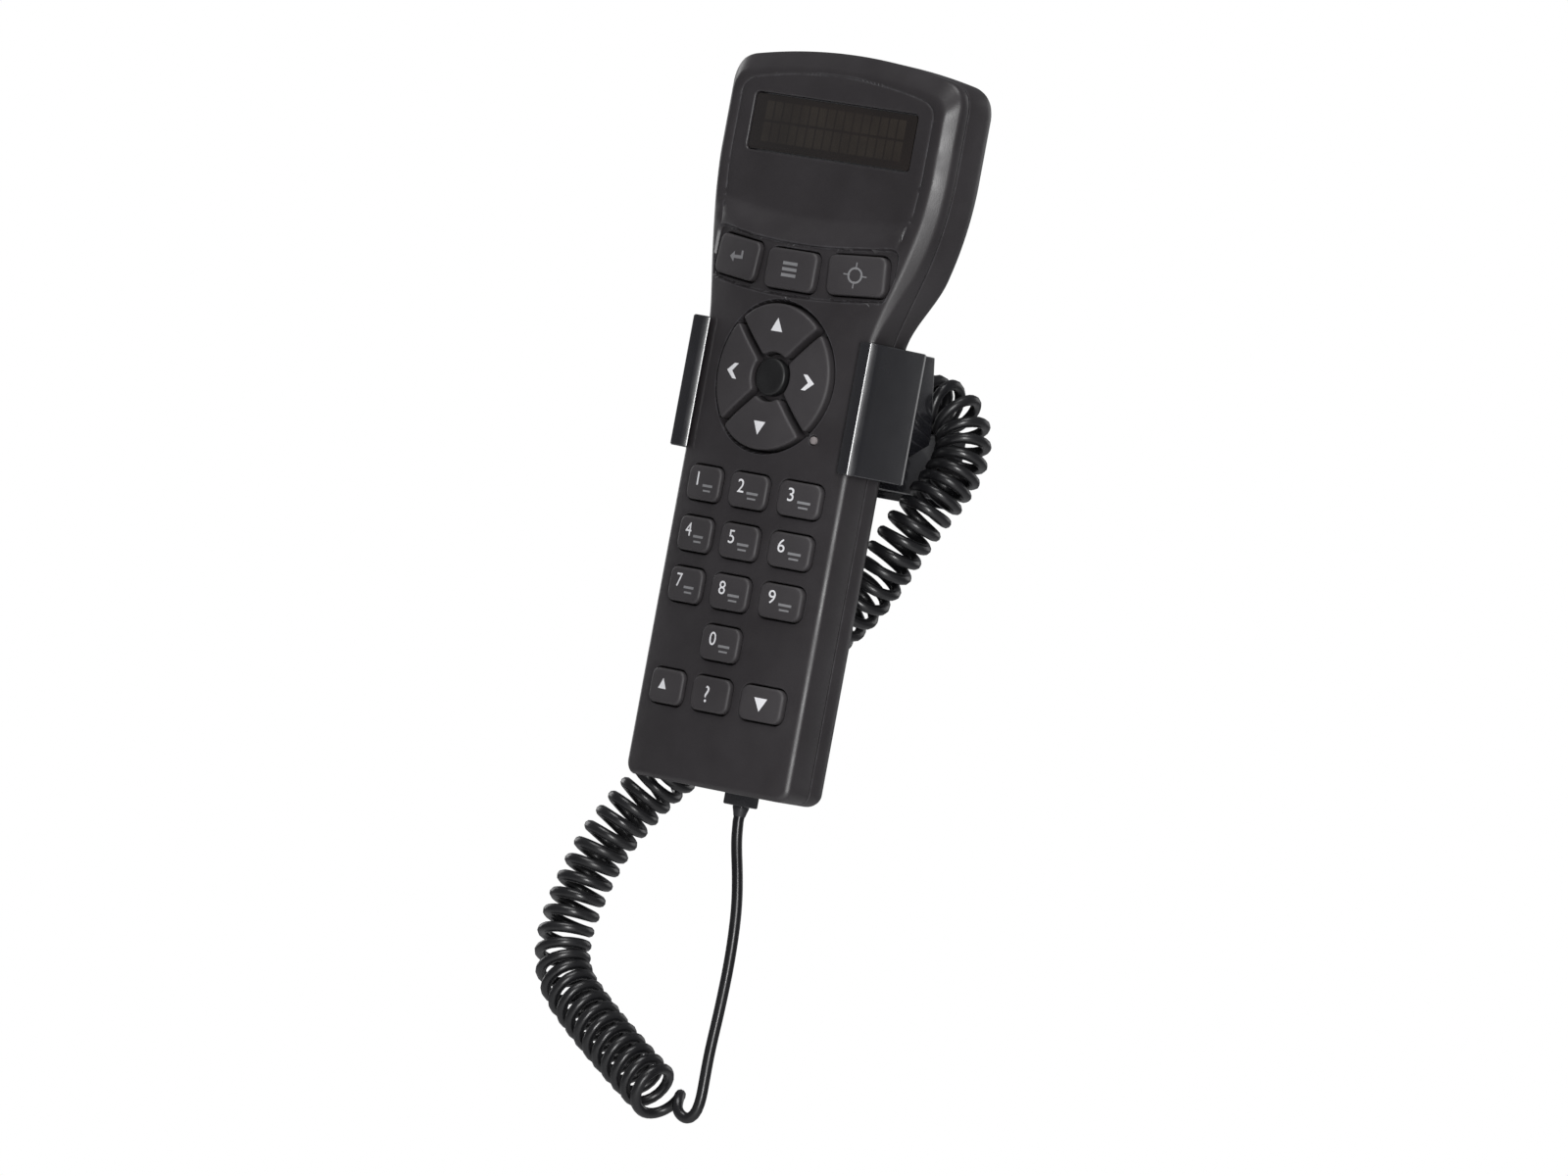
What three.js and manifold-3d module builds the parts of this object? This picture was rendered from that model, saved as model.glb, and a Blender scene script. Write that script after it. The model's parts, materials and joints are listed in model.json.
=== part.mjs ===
// Telescope hand controller standing in its clip holder.
// Millimetres, +Z up. The keys face -Y and +X is the holder's right as seen from the keys.
// Everything is drawn in the handset's own frame: x from its middle, y back from the foremost
// line of its crowned front, z up from its bottom edge. The last lines move that frame so that
// the origin is the middle of the holder arm's rear face.
import * as THREE from 'three';
import { mergeVertices } from 'three/addons/utils/BufferGeometryUtils.js';
import Module from 'manifold-3d';

const wasm = await Module();
wasm.setup();

// ---------------------------------------------------------------- driving dimensions

const GAP = 0.3; // between a piece and the neighbour it touches on the real object
const WALL = 2; // casing wall

// Handset outline, seen from the keys
const BODY_HALF = 27.5;
const HEAD_HALF = 38.3;
const LENGTH = 188;
const BOTTOM_CORNER = 3.5;
const LEAST_CORNER = 0.5; // of an outline moved in by more than the corner allows
const FLARE_START = 113;
const FLARE_END = 160;
const SHOULDER_Z = 178;
const SHOULDER_INSET = 7;
const SHOULDER_RISE = 7.2;

// Handset depth
const CROWN_RADIUS = 100; // the front is convex across its width
const PANEL_Y = 5.9; // the flat display panel is set back from the crown
const SLOPE_LOW_Z = 137.5;
const SLOPE_HIGH_Z = 146;
const BODY_BACK_Y = 20;
const HEAD_BACK_Y = 24;
const BACK_STEP_LOW_Z = 118;
const BACK_STEP_HIGH_Z = 136;
const PARTING_Y = 12;

// Keys
const KEY_PROUD = 1; // how far a key stands out of the surface round it
const KEY_BACK_Y = 8.1;
const KEY_CLEARANCE = 0.35;
const KEY_FLANGE = 0.6;
const KEY_FLANGE_THICK = 1;
const NUMBER_KEY = { width: 12.5, height: 8.8, corner: 2.2 };
const COLUMN_PITCH = 16;
const NUMBER_ROWS_Z = [75.3, 62.3, 49.3];
const ZERO_Z = 36.3;
const BOTTOM_ROW_Z = 23.3;
const FUNCTION_KEY = { width: 16.4, height: 10.2, corner: 2 };
const FUNCTION_PITCH = 20;
const FUNCTION_Z = 131.8;
const FUNCTION_RISE = 1.2; // the outer two sit higher, along the curved row
const FUNCTION_TURN = 0.09;
const FUNCTION_RECESS = { halfWidth: 32.3, low: 125, high: 139.4, depth: 0.9 };

// Direction pad
const PAD_Z = 104.5;
const PAD_INNER = 6.3;
const PAD_OUTER = 18.6;
const PAD_RIB = 1.9; // gap between two quadrant keys
const PAD_POCKET_DEPTH = 1.1;
const PAD_HUB_RADIUS = 4.8;
const PAD_LIGHT = { x: 16.6, z: 90.6, radius: 1 };

// Display stack
const DISPLAY_Z = 168;
const WINDOW = { halfWidth: 27, halfHeight: 7.1, front: 6.3, back: 7.6 };
const BEZEL = { halfWidth: 31, halfHeight: 12, front: 8.2, back: 14.8, sheet: 0.7 };
const GLASS = { halfWidth: 29.8, halfHeight: 10.8, front: 9.2, back: 12 };
const BACKLIGHT = { halfWidth: 29.8, halfHeight: 10.8, front: 12.3, back: 14.5 };
const DISPLAY_BOARD = { halfWidth: 28, low: 153, high: 176, front: 15.1, back: 16.7 };

// Boards and mat
const MAT = { inset: 3, low: 18, high: 140, front: 9.4, back: 10.6 };
const MAIN_BOARD = { inset: 3.4, low: 17.5, high: 142, front: 10.9, back: 12.5 };
const PROCESSOR = { half: 7, x: -4, z: 62, front: 12.8, back: 14.4 };
const RIBBON = { halfWidth: 9, low: 138, high: 156, thick: 0.4 };

// Cord socket and plugs
const SOCKET = { x: 4.5, y: 13.8, halfWidth: 5.8, front: 9.6, back: 17.6, low: 3.4, high: 16.8 };
const SOCKET_MOUTH = { halfWidth: 4.05, halfDepth: 3.35, top: 14.5 };
const PLUG = { halfWidth: 3.7, halfDepth: 3, length: 14 };
const PLUG_DROP = 3; // the near plug's cord end stands this far below the casing
const PLUG_OPENING = 0.5;

// Fasteners
const SCREW = { shank: 1.2, head: 2.4, hole: 1.5, counterbore: 2.7, headThick: 1.1 };
const BOSS_RADIUS = 3.1;
const CASING_SCREWS = [[-21.4, 9.6], [21.4, 9.6], [-32.3, 150], [32.3, 150]];

// Utility light in the top edge
const LIGHT = { y: 18, radius: 2.5, hole: 2.8, lensLow: 184.6, ledLow: 178.4 };

// Clip holder
const JAW_LOW_Z = 83.5;
const JAW_HIGH_Z = 117;
const JAW_INNER = 28.8;
const JAW_OUTER = 31.2;
const LIP_INNER = 25.2;
const LIP_FRONT_Y = 0.9;
const LIP_BACK_Y = 2.5;
const PLATE_FRONT_Y = 20.6;
const PLATE_BACK_Y = 23;
const JAW_PAD = { inner: 28, outer: 28.5, front: 6, back: 18.5, low: 85.5, high: 115 };
const GUSSET_HALF = 20;
const GUSSET_TOP_BACK_Y = 38;
const GUSSET_FOOT_Y = 42;
const ARM_HALF = 15;
const ARM_LOW_Z = 82;
const ARM_HIGH_Z = 98;
const FLANGE_FRONT_Y = 59;
const REAR_Y = 62;
const REAR_Z = 90;
const HOLDER_SCREWS_Z = [92, 108];

// Cord
const CORD_RADIUS = 1.4;
const COIL_RADIUS = 7.25;
const TIE = { thick: 1.5, clear: 0.4, low: 64, high: 76 };
const HANK_DOWN = [-24.5, 52]; // where the stored coil hangs down from the arm
const HANK_UP = [-40.5, 48]; // where it comes back up beside itself
const LEAD_NEAR_ROUTE = [
  [4.5, 13.8, -3.3], [4.6, 13.8, -10], [6.6, 13.8, -17], [9, 13.8, -27], [10.2, 13.6, -40],
  [10.2, 13.3, -54], [10, 12.7, -66], [10.6, 12.1, -75], [10.4, 11.8, -81], [8.2, 11.5, -83.7],
  [4.77, 11.49, -82.13],
];
const COIL_ROUTE = [
  [4.5, 11.5, -82], [-8.2, 12, -76], [-21.7, 13, -69], [-34.4, 14.5, -62], [-44.8, 16, -55],
  [-48.5, 17, -49], [-49.5, 18, -42], [-48.8, 20, -32], [-46.8, 22.5, -21], [-43.1, 25, -12],
  [-38.5, 28.5, -3], [-29.4, 31, 7.5], [-15.7, 33.5, 24], [-0.3, 34, 40], [11.2, 34.5, 51],
  [16.8, 35, 59], [20.7, 36.5, 68], [24, 38.6, 76.5], [25.6, 41, 81.1], [26.2, 42.8, 84.5],
];
const STORED_ROUTE = [
  [26.27, 43.01, 84.9], [26.8, 44.6, 87.9], [26.6, 47.4, 93], [24, 49.6, 99.5],
  [19.4, 50.4, 104.8], [11.5, 50.5, 106.2], [0, 50.5, 106], [-11.5, 50.5, 106.2],
  [-19.4, 50.8, 104.8], [-23.6, 51.6, 98.5], [-24.5, 52, 90], [-24.5, 52, 78], [-24.5, 52, 62],
  [-24.5, 52, 44], [-25.3, 51.8, 29], [-30, 50.3, 19], [-37.8, 47.8, 15.2], [-45.5, 45.5, 19],
  [-49.3, 44.4, 28], [-47.5, 45.2, 42], [-42, 47.4, 56], [-40.5, 48, 65], [-40.5, 48, 76],
  [-40.5, 48, 84],
];
const LEAD_FAR_ROUTE = [
  [-40.5, 48, 84.3], [-40.5, 48, 90], [-40.8, 47.9, 97], [-42.4, 47.6, 102.5], [-46, 47, 105.8],
  [-50, 46.2, 105.2], [-53.1, 45.7, 101], [-54, 45.3, 94], [-54, 45.1, 85], [-54, 45, 76.3],
];
const FAR_PLUG = { x: -54, y: 45, high: 76 };

// ---------------------------------------------------------------- materials

function plastic(color, roughness = 0.6) {
  return new THREE.MeshStandardMaterial({ color, roughness, metalness: 0 });
}

function metal(color, roughness = 0.35) {
  return new THREE.MeshStandardMaterial({ color, roughness, metalness: 1 });
}

const CASING_COLOR = 0x37343a;
const KEY_COLOR = 0x3d3a3e;
const HOLDER_COLOR = 0x1d1d21;
const CORD_COLOR = 0x141416;

// ---------------------------------------------------------------- solids

function solid(geometry) {
  const bare = geometry.clone();
  bare.deleteAttribute('normal');
  bare.deleteAttribute('uv');
  const merged = mergeVertices(bare, 1e-4);
  return new wasm.Manifold(new wasm.Mesh({
    numProp: 3,
    vertProperties: merged.attributes.position.array,
    triVerts: Uint32Array.from(merged.index.array),
  }));
}

function geometryOf(manifold) {
  const mesh = manifold.getMesh();
  const geometry = new THREE.BufferGeometry();
  geometry.setAttribute('position', new THREE.BufferAttribute(mesh.vertProperties, 3));
  geometry.setIndex(new THREE.BufferAttribute(mesh.triVerts, 1));
  geometry.computeVertexNormals();
  return geometry;
}

function union(solids) {
  return solids.reduce((sum, next) => sum.add(next));
}

function extrude(shape, depth, curveSegments) {
  return new THREE.ExtrudeGeometry(shape, { depth, curveSegments, steps: 1, bevelEnabled: false });
}

// Prism of an (x, z) shape from y0 back to y1
function prismY(shape, y0, y1, curveSegments = 5) {
  return solid(extrude(shape, y1 - y0, curveSegments).rotateX(Math.PI / 2).translate(0, y1, 0));
}

// Prism of a (y, z) shape from x0 to x1
function prismX(shape, x0, x1, curveSegments = 5) {
  const turn = new THREE.Matrix4().makeBasis(
    new THREE.Vector3(0, 1, 0),
    new THREE.Vector3(0, 0, 1),
    new THREE.Vector3(1, 0, 0),
  );
  return solid(extrude(shape, x1 - x0, curveSegments).applyMatrix4(turn).translate(x0, 0, 0));
}

// Prism of an (x, y) shape from z0 up to z1
function prismZ(shape, z0, z1, curveSegments = 5) {
  return solid(extrude(shape, z1 - z0, curveSegments).translate(0, 0, z0));
}

function block(x0, x1, y0, y1, z0, z1) {
  const box = new THREE.BoxGeometry(x1 - x0, y1 - y0, z1 - z0);
  return solid(box.translate((x0 + x1) / 2, (y0 + y1) / 2, (z0 + z1) / 2));
}

// Round bar along Y at (x, z)
function barY(x, z, radius, y0, y1, sides = 16) {
  const bar = new THREE.CylinderGeometry(radius, radius, y1 - y0, sides);
  return solid(bar.translate(x, (y0 + y1) / 2, z));
}

// Round bar along Z at (x, y)
function barZ(x, y, radius, z0, z1, sides = 16) {
  const bar = new THREE.CylinderGeometry(radius, radius, z1 - z0, sides).rotateX(Math.PI / 2);
  return solid(bar.translate(x, y, (z0 + z1) / 2));
}

function polygon(points) {
  return new THREE.Shape(points.map(([a, b]) => new THREE.Vector2(a, b)));
}

function roundedRectangle(width, height, corner) {
  const x = width / 2;
  const y = height / 2;
  const shape = new THREE.Shape();
  shape.moveTo(-x + corner, -y);
  shape.lineTo(x - corner, -y);
  shape.absarc(x - corner, -y + corner, corner, -Math.PI / 2, 0);
  shape.lineTo(x, y - corner);
  shape.absarc(x - corner, y - corner, corner, 0, Math.PI / 2);
  shape.lineTo(-x + corner, y);
  shape.absarc(-x + corner, y - corner, corner, Math.PI / 2, Math.PI);
  shape.lineTo(-x, -y + corner);
  shape.absarc(-x + corner, -y + corner, corner, Math.PI, Math.PI * 1.5);
  return shape;
}

// ---------------------------------------------------------------- handset shape

// Outline seen from the keys, moved in by inset: straight body, flared waist, arched head
function handsetOutline(inset) {
  const body = BODY_HALF - inset;
  const head = HEAD_HALF - inset;
  const corner = Math.max(BOTTOM_CORNER - inset, LEAST_CORNER);
  const shoulder = head - SHOULDER_INSET;
  const shoulderTop = SHOULDER_Z + SHOULDER_RISE - inset;
  const archPull = 2 * (LENGTH - inset) - shoulderTop;
  const shape = new THREE.Shape();
  shape.moveTo(-body + corner, inset);
  shape.lineTo(body - corner, inset);
  shape.absarc(body - corner, inset + corner, corner, -Math.PI / 2, 0);
  shape.lineTo(body, FLARE_START);
  shape.bezierCurveTo(body, FLARE_START + 11, head - 0.5, FLARE_END - 24, head, FLARE_END);
  shape.lineTo(head, SHOULDER_Z);
  shape.quadraticCurveTo(head - 0.3, shoulderTop - 0.9, shoulder, shoulderTop);
  shape.quadraticCurveTo(0, archPull, -shoulder, shoulderTop);
  shape.quadraticCurveTo(-head + 0.3, shoulderTop - 0.9, -head, SHOULDER_Z);
  shape.lineTo(-head, FLARE_END);
  shape.bezierCurveTo(-head + 0.5, FLARE_END - 24, -body, FLARE_START + 11, -body, FLARE_START);
  shape.lineTo(-body, inset + corner);
  shape.absarc(-body + corner, inset + corner, corner, Math.PI, Math.PI * 1.5);
  return shape;
}

// Side profile moved in by inset: crown line, slope up to the set-back panel, stepped back
function handsetProfile(inset) {
  const top = LENGTH + 1 - inset;
  return polygon([
    [1.6 + inset, inset], [inset, 2.5 + inset], [inset, SLOPE_LOW_Z], [PANEL_Y + inset, SLOPE_HIGH_Z],
    [PANEL_Y + inset, 183 - inset], [8.5 + inset, top], [22.5 - inset, top],
    [HEAD_BACK_Y - inset, 184 - inset], [HEAD_BACK_Y - inset, BACK_STEP_HIGH_Z],
    [BODY_BACK_Y - inset, BACK_STEP_LOW_Z], [BODY_BACK_Y - inset, 1.2 + inset],
    [BODY_BACK_Y - 1.2 - inset, inset],
  ]);
}

// Everything behind the crowned front surface moved back by depth
function behindCrown(depth) {
  const reach = 46;
  const radius = CROWN_RADIUS - depth;
  const half = Math.asin(reach / radius);
  const shape = new THREE.Shape();
  shape.absarc(0, CROWN_RADIUS, radius, -Math.PI / 2 - half, -Math.PI / 2 + half);
  shape.lineTo(reach, 70);
  shape.lineTo(-reach, 70);
  return prismZ(shape, -20, 220, 12);
}

function handsetSolid(inset) {
  return prismY(handsetOutline(inset), -10, 40, 6)
    .intersect(prismX(handsetProfile(inset), -60, 60))
    .intersect(behindCrown(inset));
}

// The part of a prism that lies less than depth behind the crown
function crownPocket(prism, depth) {
  return prism.subtract(behindCrown(depth));
}

const outerSolid = handsetSolid(0);
const innerSolid = handsetSolid(WALL);

// ---------------------------------------------------------------- key outlines

function placed(shape, x, z, turn = 0) {
  const cos = Math.cos(turn);
  const sin = Math.sin(turn);
  return polygon(shape.getPoints(3).map((p) => [x + p.x * cos - p.y * sin, z + p.x * sin + p.y * cos]));
}

function rectangleKey(size, x, z, turn = 0) {
  return (grow) => placed(
    roundedRectangle(size.width + 2 * grow, size.height + 2 * grow, size.corner + grow), x, z, turn,
  );
}

// Quadrant of the direction pad centred on angle, with straight sides parallel to the ribs
function quadrantKey(angle) {
  return (grow) => {
    const inner = PAD_INNER - grow;
    const outer = PAD_OUTER + grow;
    const rib = PAD_RIB / 2 - grow;
    const innerSpan = Math.PI / 4 - Math.asin(rib / inner);
    const outerSpan = Math.PI / 4 - Math.asin(rib / outer);
    const shape = new THREE.Shape();
    shape.absarc(0, PAD_Z, outer, angle - outerSpan, angle + outerSpan);
    shape.absarc(0, PAD_Z, inner, angle + innerSpan, angle - innerSpan, true);
    return polygon(shape.getPoints(6).map((p) => [p.x, p.y]));
  };
}

function keyOutlines() {
  const keys = {};
  NUMBER_ROWS_Z.forEach((z, row) => {
    [-1, 0, 1].forEach((column) => {
      keys[`key_${row * 3 + column + 2}`] = rectangleKey(NUMBER_KEY, column * COLUMN_PITCH, z);
    });
  });
  keys.key_0 = rectangleKey(NUMBER_KEY, 0, ZERO_Z);
  ['key_scroll_up', 'key_help', 'key_scroll_down'].forEach((name, i) => {
    keys[name] = rectangleKey(NUMBER_KEY, (i - 1) * COLUMN_PITCH, BOTTOM_ROW_Z);
  });
  ['key_enter', 'key_mode', 'key_goto'].forEach((name, i) => {
    const side = i - 1;
    const z = FUNCTION_Z + Math.abs(side) * FUNCTION_RISE;
    keys[name] = rectangleKey(FUNCTION_KEY, side * FUNCTION_PITCH, z, side * FUNCTION_TURN);
  });
  ['key_right', 'key_up', 'key_left', 'key_down'].forEach((name, i) => {
    keys[name] = quadrantKey(i * Math.PI / 2);
  });
  return keys;
}

const KEYS = keyOutlines();

// A key: crowned cap standing proud of the casing, with a wider flange inside it
function keySolid(outline) {
  const cap = prismY(outline(0), -10, KEY_BACK_Y).intersect(behindCrown(-KEY_PROUD));
  const flange = prismY(outline(KEY_FLANGE), KEY_BACK_Y - KEY_FLANGE_THICK, KEY_BACK_Y);
  return cap.add(flange);
}

// ---------------------------------------------------------------- casings

function functionRecess() {
  const { halfWidth, low, high, depth } = FUNCTION_RECESS;
  const shape = new THREE.Shape();
  shape.moveTo(-halfWidth + 3, low + 1.6);
  shape.quadraticCurveTo(0, low - 1.4, halfWidth - 3, low + 1.6);
  shape.lineTo(halfWidth, high - 2.4);
  shape.lineTo(halfWidth - 1.5, high);
  shape.quadraticCurveTo(0, high - 3, -halfWidth + 1.5, high);
  shape.lineTo(-halfWidth, high - 2.4);
  return crownPocket(prismY(shape, -10, KEY_BACK_Y), depth);
}

function padPocket() {
  return crownPocket(barY(0, PAD_Z, PAD_OUTER + 0.7, -10, KEY_BACK_Y, 40), PAD_POCKET_DEPTH);
}

function plugOpening() {
  const x = PLUG.halfWidth + PLUG_OPENING;
  const y = PLUG.halfDepth + PLUG_OPENING;
  return block(SOCKET.x - x, SOCKET.x + x, SOCKET.y - y, SOCKET.y + y, -2, WALL + 2);
}

function lightOpening() {
  return barZ(0, LIGHT.y, LIGHT.hole, LIGHT.lensLow - 2, LENGTH + 4, 20);
}

function frontBosses() {
  return union(CASING_SCREWS.map(([x, z]) => {
    const back = (z > BACK_STEP_HIGH_Z ? HEAD_BACK_Y : BODY_BACK_Y) - WALL - GAP;
    return barY(x, z, BOSS_RADIUS, 4, back).intersect(outerSolid);
  }));
}

function bossHoles() {
  return union(CASING_SCREWS.map(([x, z]) => barY(x, z, SCREW.hole, 9, 30)));
}

function frontCasing() {
  const half = outerSolid.subtract(innerSolid).intersect(block(-60, 60, -10, PARTING_Y - GAP / 2, -10, 200));
  const keyHoles = Object.values(KEYS).map((outline) => prismY(outline(KEY_CLEARANCE), -10, PARTING_Y));
  const { halfWidth, halfHeight } = WINDOW;
  const windowHole = block(
    -halfWidth - GAP, halfWidth + GAP, -1, 10, DISPLAY_Z - halfHeight - GAP, DISPLAY_Z + halfHeight + GAP,
  );
  const lightHole = barY(PAD_LIGHT.x, PAD_LIGHT.z, PAD_LIGHT.radius + GAP, -5, PARTING_Y);
  const cuts = [
    ...keyHoles, functionRecess(), padPocket(), windowHole, lightHole, plugOpening(), bossHoles(),
  ];
  return half.add(frontBosses()).subtract(union(cuts)).subtract(lightOpening());
}

function rearCasing() {
  const half = outerSolid.subtract(innerSolid).intersect(block(-60, 60, PARTING_Y + GAP / 2, 40, -10, 200));
  const holes = CASING_SCREWS.map(([x, z]) => {
    const back = z > BACK_STEP_HIGH_Z ? HEAD_BACK_Y : BODY_BACK_Y;
    return barY(x, z, SCREW.hole, 9, 30).add(barY(x, z, SCREW.counterbore, back - SCREW.headThick - GAP, 30));
  });
  return half.subtract(union(holes)).subtract(plugOpening()).subtract(lightOpening());
}

function casingScrew(x, z) {
  const back = z > BACK_STEP_HIGH_Z ? HEAD_BACK_Y : BODY_BACK_Y;
  const head = barY(x, z, SCREW.head, back - SCREW.headThick, back, 14);
  return head.add(barY(x, z, SCREW.shank, 10, back - SCREW.headThick / 2, 10));
}

// ---------------------------------------------------------------- inside the handset

function plate(part, front = part.front, back = part.back) {
  const { halfWidth, halfHeight } = part;
  return block(-halfWidth, halfWidth, front, back, DISPLAY_Z - halfHeight, DISPLAY_Z + halfHeight);
}

function displayBezel() {
  const { halfWidth, halfHeight, front, back, sheet } = BEZEL;
  const inside = { halfWidth: halfWidth - sheet, halfHeight: halfHeight - sheet };
  const well = plate(inside, front + sheet, back + 1);
  const seen = { halfWidth: WINDOW.halfWidth - 1, halfHeight: WINDOW.halfHeight - 0.7 };
  const opening = plate(seen, 0, back);
  return plate(BEZEL).subtract(well).subtract(opening);
}

function boardShape(part) {
  const outline = prismY(handsetOutline(part.inset), part.front, part.back, 4);
  return outline.intersect(block(-60, 60, 0, 40, part.low, part.high));
}

function displayRibbon() {
  const { halfWidth, low, high, thick } = RIBBON;
  const start = MAIN_BOARD.back + GAP;
  const end = DISPLAY_BOARD.back + GAP;
  const strip = polygon([
    [start, low], [start, MAIN_BOARD.high + 1], [end, high - 6], [end, high],
    [end + thick, high], [end + thick, high - 6.3],
    [start + thick, MAIN_BOARD.high + 0.7], [start + thick, low],
  ]);
  return prismX(strip, -halfWidth, halfWidth);
}

function cordSocket() {
  const { x, y, halfWidth, front, back, low, high } = SOCKET;
  const mouth = SOCKET_MOUTH;
  const body = block(x - halfWidth, x + halfWidth, front, back, low, high);
  const cavity = block(
    x - mouth.halfWidth, x + mouth.halfWidth, y - mouth.halfDepth, y + mouth.halfDepth, low - 1, mouth.top,
  );
  return body.subtract(cavity);
}

// Modular plug with its cord end down: body with a latch along its front, stepped at the mouth
function modularPlug(x, y, z0) {
  const { halfWidth, halfDepth, length } = PLUG;
  const body = block(x - halfWidth, x + halfWidth, y - halfDepth, y + halfDepth - 0.6, z0, z0 + length);
  const latch = block(x - 1.4, x + 1.4, y + halfDepth - 1.2, y + halfDepth, z0 + 3, z0 + length - 1.5);
  return body.add(latch);
}

// ---------------------------------------------------------------- holder

function holderScrewHole(z) {
  const head = barY(0, z, SCREW.counterbore + 0.4, PLATE_FRONT_Y - 1, PLATE_FRONT_Y + 1.3);
  return head.add(barY(0, z, SCREW.hole + 0.3, PLATE_FRONT_Y - 1, PLATE_BACK_Y + 12));
}

function holderClip() {
  const jaw = polygon([
    [LIP_INNER, LIP_FRONT_Y], [JAW_OUTER - 0.8, LIP_FRONT_Y], [JAW_OUTER, LIP_FRONT_Y + 0.8],
    [JAW_OUTER, PLATE_BACK_Y - 1], [JAW_OUTER - 1, PLATE_BACK_Y], [-JAW_OUTER + 1, PLATE_BACK_Y],
    [-JAW_OUTER, PLATE_BACK_Y - 1], [-JAW_OUTER, LIP_FRONT_Y + 0.8], [-JAW_OUTER + 0.8, LIP_FRONT_Y],
    [-LIP_INNER, LIP_FRONT_Y], [-LIP_INNER, LIP_BACK_Y], [-JAW_INNER, LIP_BACK_Y],
    [-JAW_INNER, PLATE_FRONT_Y], [JAW_INNER, PLATE_FRONT_Y], [JAW_INNER, LIP_BACK_Y], [LIP_INNER, LIP_BACK_Y],
  ]);
  return prismZ(jaw, JAW_LOW_Z, JAW_HIGH_Z).subtract(union(HOLDER_SCREWS_Z.map(holderScrewHole)));
}

function jawPad(side) {
  const { inner, outer, front, back, low, high } = JAW_PAD;
  return side < 0
    ? block(-outer, -inner, front, back, low, high)
    : block(inner, outer, front, back, low, high);
}

function holderArm() {
  const front = PLATE_BACK_Y + GAP;
  const gusset = prismX(polygon([
    [front, ARM_LOW_Z + 2], [GUSSET_FOOT_Y, ARM_HIGH_Z - 3], [GUSSET_FOOT_Y, ARM_HIGH_Z],
    [GUSSET_TOP_BACK_Y, JAW_HIGH_Z], [front, JAW_HIGH_Z],
  ]), -GUSSET_HALF, GUSSET_HALF);
  const arm = block(-ARM_HALF, ARM_HALF, front, REAR_Y - 1, ARM_LOW_Z, ARM_HIGH_Z);
  const flange = block(-ARM_HALF, ARM_HALF, FLANGE_FRONT_Y, REAR_Y, ARM_LOW_Z - 2, ARM_HIGH_Z + 2);
  return gusset.add(arm).add(flange).subtract(union(HOLDER_SCREWS_Z.map(holderScrewHole)));
}

function holderScrew(z) {
  const head = barY(0, z, SCREW.counterbore, PLATE_FRONT_Y, PLATE_FRONT_Y + 1, 14);
  return head.add(barY(0, z, SCREW.hole, PLATE_FRONT_Y + 0.5, PLATE_BACK_Y + 11, 12));
}

// ---------------------------------------------------------------- cord

function tube(route, radius, sides, steps) {
  const section = new THREE.Shape();
  for (let i = 0; i < sides; i += 1) {
    const angle = (i / sides) * Math.PI * 2;
    section[i ? 'lineTo' : 'moveTo'](Math.cos(angle) * radius, Math.sin(angle) * radius);
  }
  const path = new THREE.CatmullRomCurve3(route.map((p) => new THREE.Vector3(...p)), false, 'centripetal');
  return new THREE.ExtrudeGeometry(section, { steps, extrudePath: path, bevelEnabled: false });
}

// Loop of strap round the two runs of the stored coil
function cordTie() {
  const along = Math.atan2(HANK_DOWN[1] - HANK_UP[1], HANK_DOWN[0] - HANK_UP[0]);
  const stadium = (path, radius) => {
    path.absarc(HANK_DOWN[0], HANK_DOWN[1], radius, along - Math.PI / 2, along + Math.PI / 2);
    path.absarc(HANK_UP[0], HANK_UP[1], radius, along + Math.PI / 2, along + Math.PI * 1.5);
    return path;
  };
  const inner = COIL_RADIUS + TIE.clear;
  const band = prismZ(stadium(new THREE.Shape(), inner + TIE.thick), TIE.low, TIE.high, 10);
  return band.subtract(prismZ(stadium(new THREE.Shape(), inner), TIE.low - 1, TIE.high + 1, 10));
}

// ---------------------------------------------------------------- assembly

const handset = new THREE.Group();
const keypad = new THREE.Group();
const display = new THREE.Group();
const holder = new THREE.Group();
const cord = new THREE.Group();

function add(group, name, shape, material) {
  const geometry = shape.isBufferGeometry ? shape : geometryOf(shape);
  const mesh = new THREE.Mesh(geometry, material);
  mesh.name = name;
  group.add(mesh);
}

function buildKeypad() {
  Object.entries(KEYS).forEach(([name, outline]) => {
    add(keypad, name, keySolid(outline), plastic(KEY_COLOR, 0.7));
  });
  const hub = barY(0, PAD_Z, PAD_HUB_RADIUS, -0.5, PAD_POCKET_DEPTH - GAP, 24);
  add(keypad, 'pad_hub', hub, plastic(0x0c0c0d, 0.5));
  const light = barY(PAD_LIGHT.x, PAD_LIGHT.z, PAD_LIGHT.radius, 1.3, KEY_BACK_Y, 12);
  add(keypad, 'pad_light', light, plastic(0x6a6666, 0.3));
  add(keypad, 'keypad_mat', boardShape(MAT), plastic(0x2b2b2e, 0.8));
}

function buildDisplay() {
  add(display, 'display_window', plate(WINDOW), plastic(0x15110f, 0.1));
  add(display, 'display_bezel', displayBezel(), metal(0x8a8c90));
  add(display, 'display_glass', plate(GLASS), plastic(0x2c3a2a, 0.15));
  add(display, 'backlight', plate(BACKLIGHT), plastic(0xd8d8d0, 0.4));
  const { halfWidth, front, back, low, high } = DISPLAY_BOARD;
  add(display, 'display_board', block(-halfWidth, halfWidth, front, back, low, high), plastic(0x1d5a38, 0.5));
  add(display, 'display_ribbon', displayRibbon(), plastic(0xb88a4a, 0.5));
}

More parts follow.
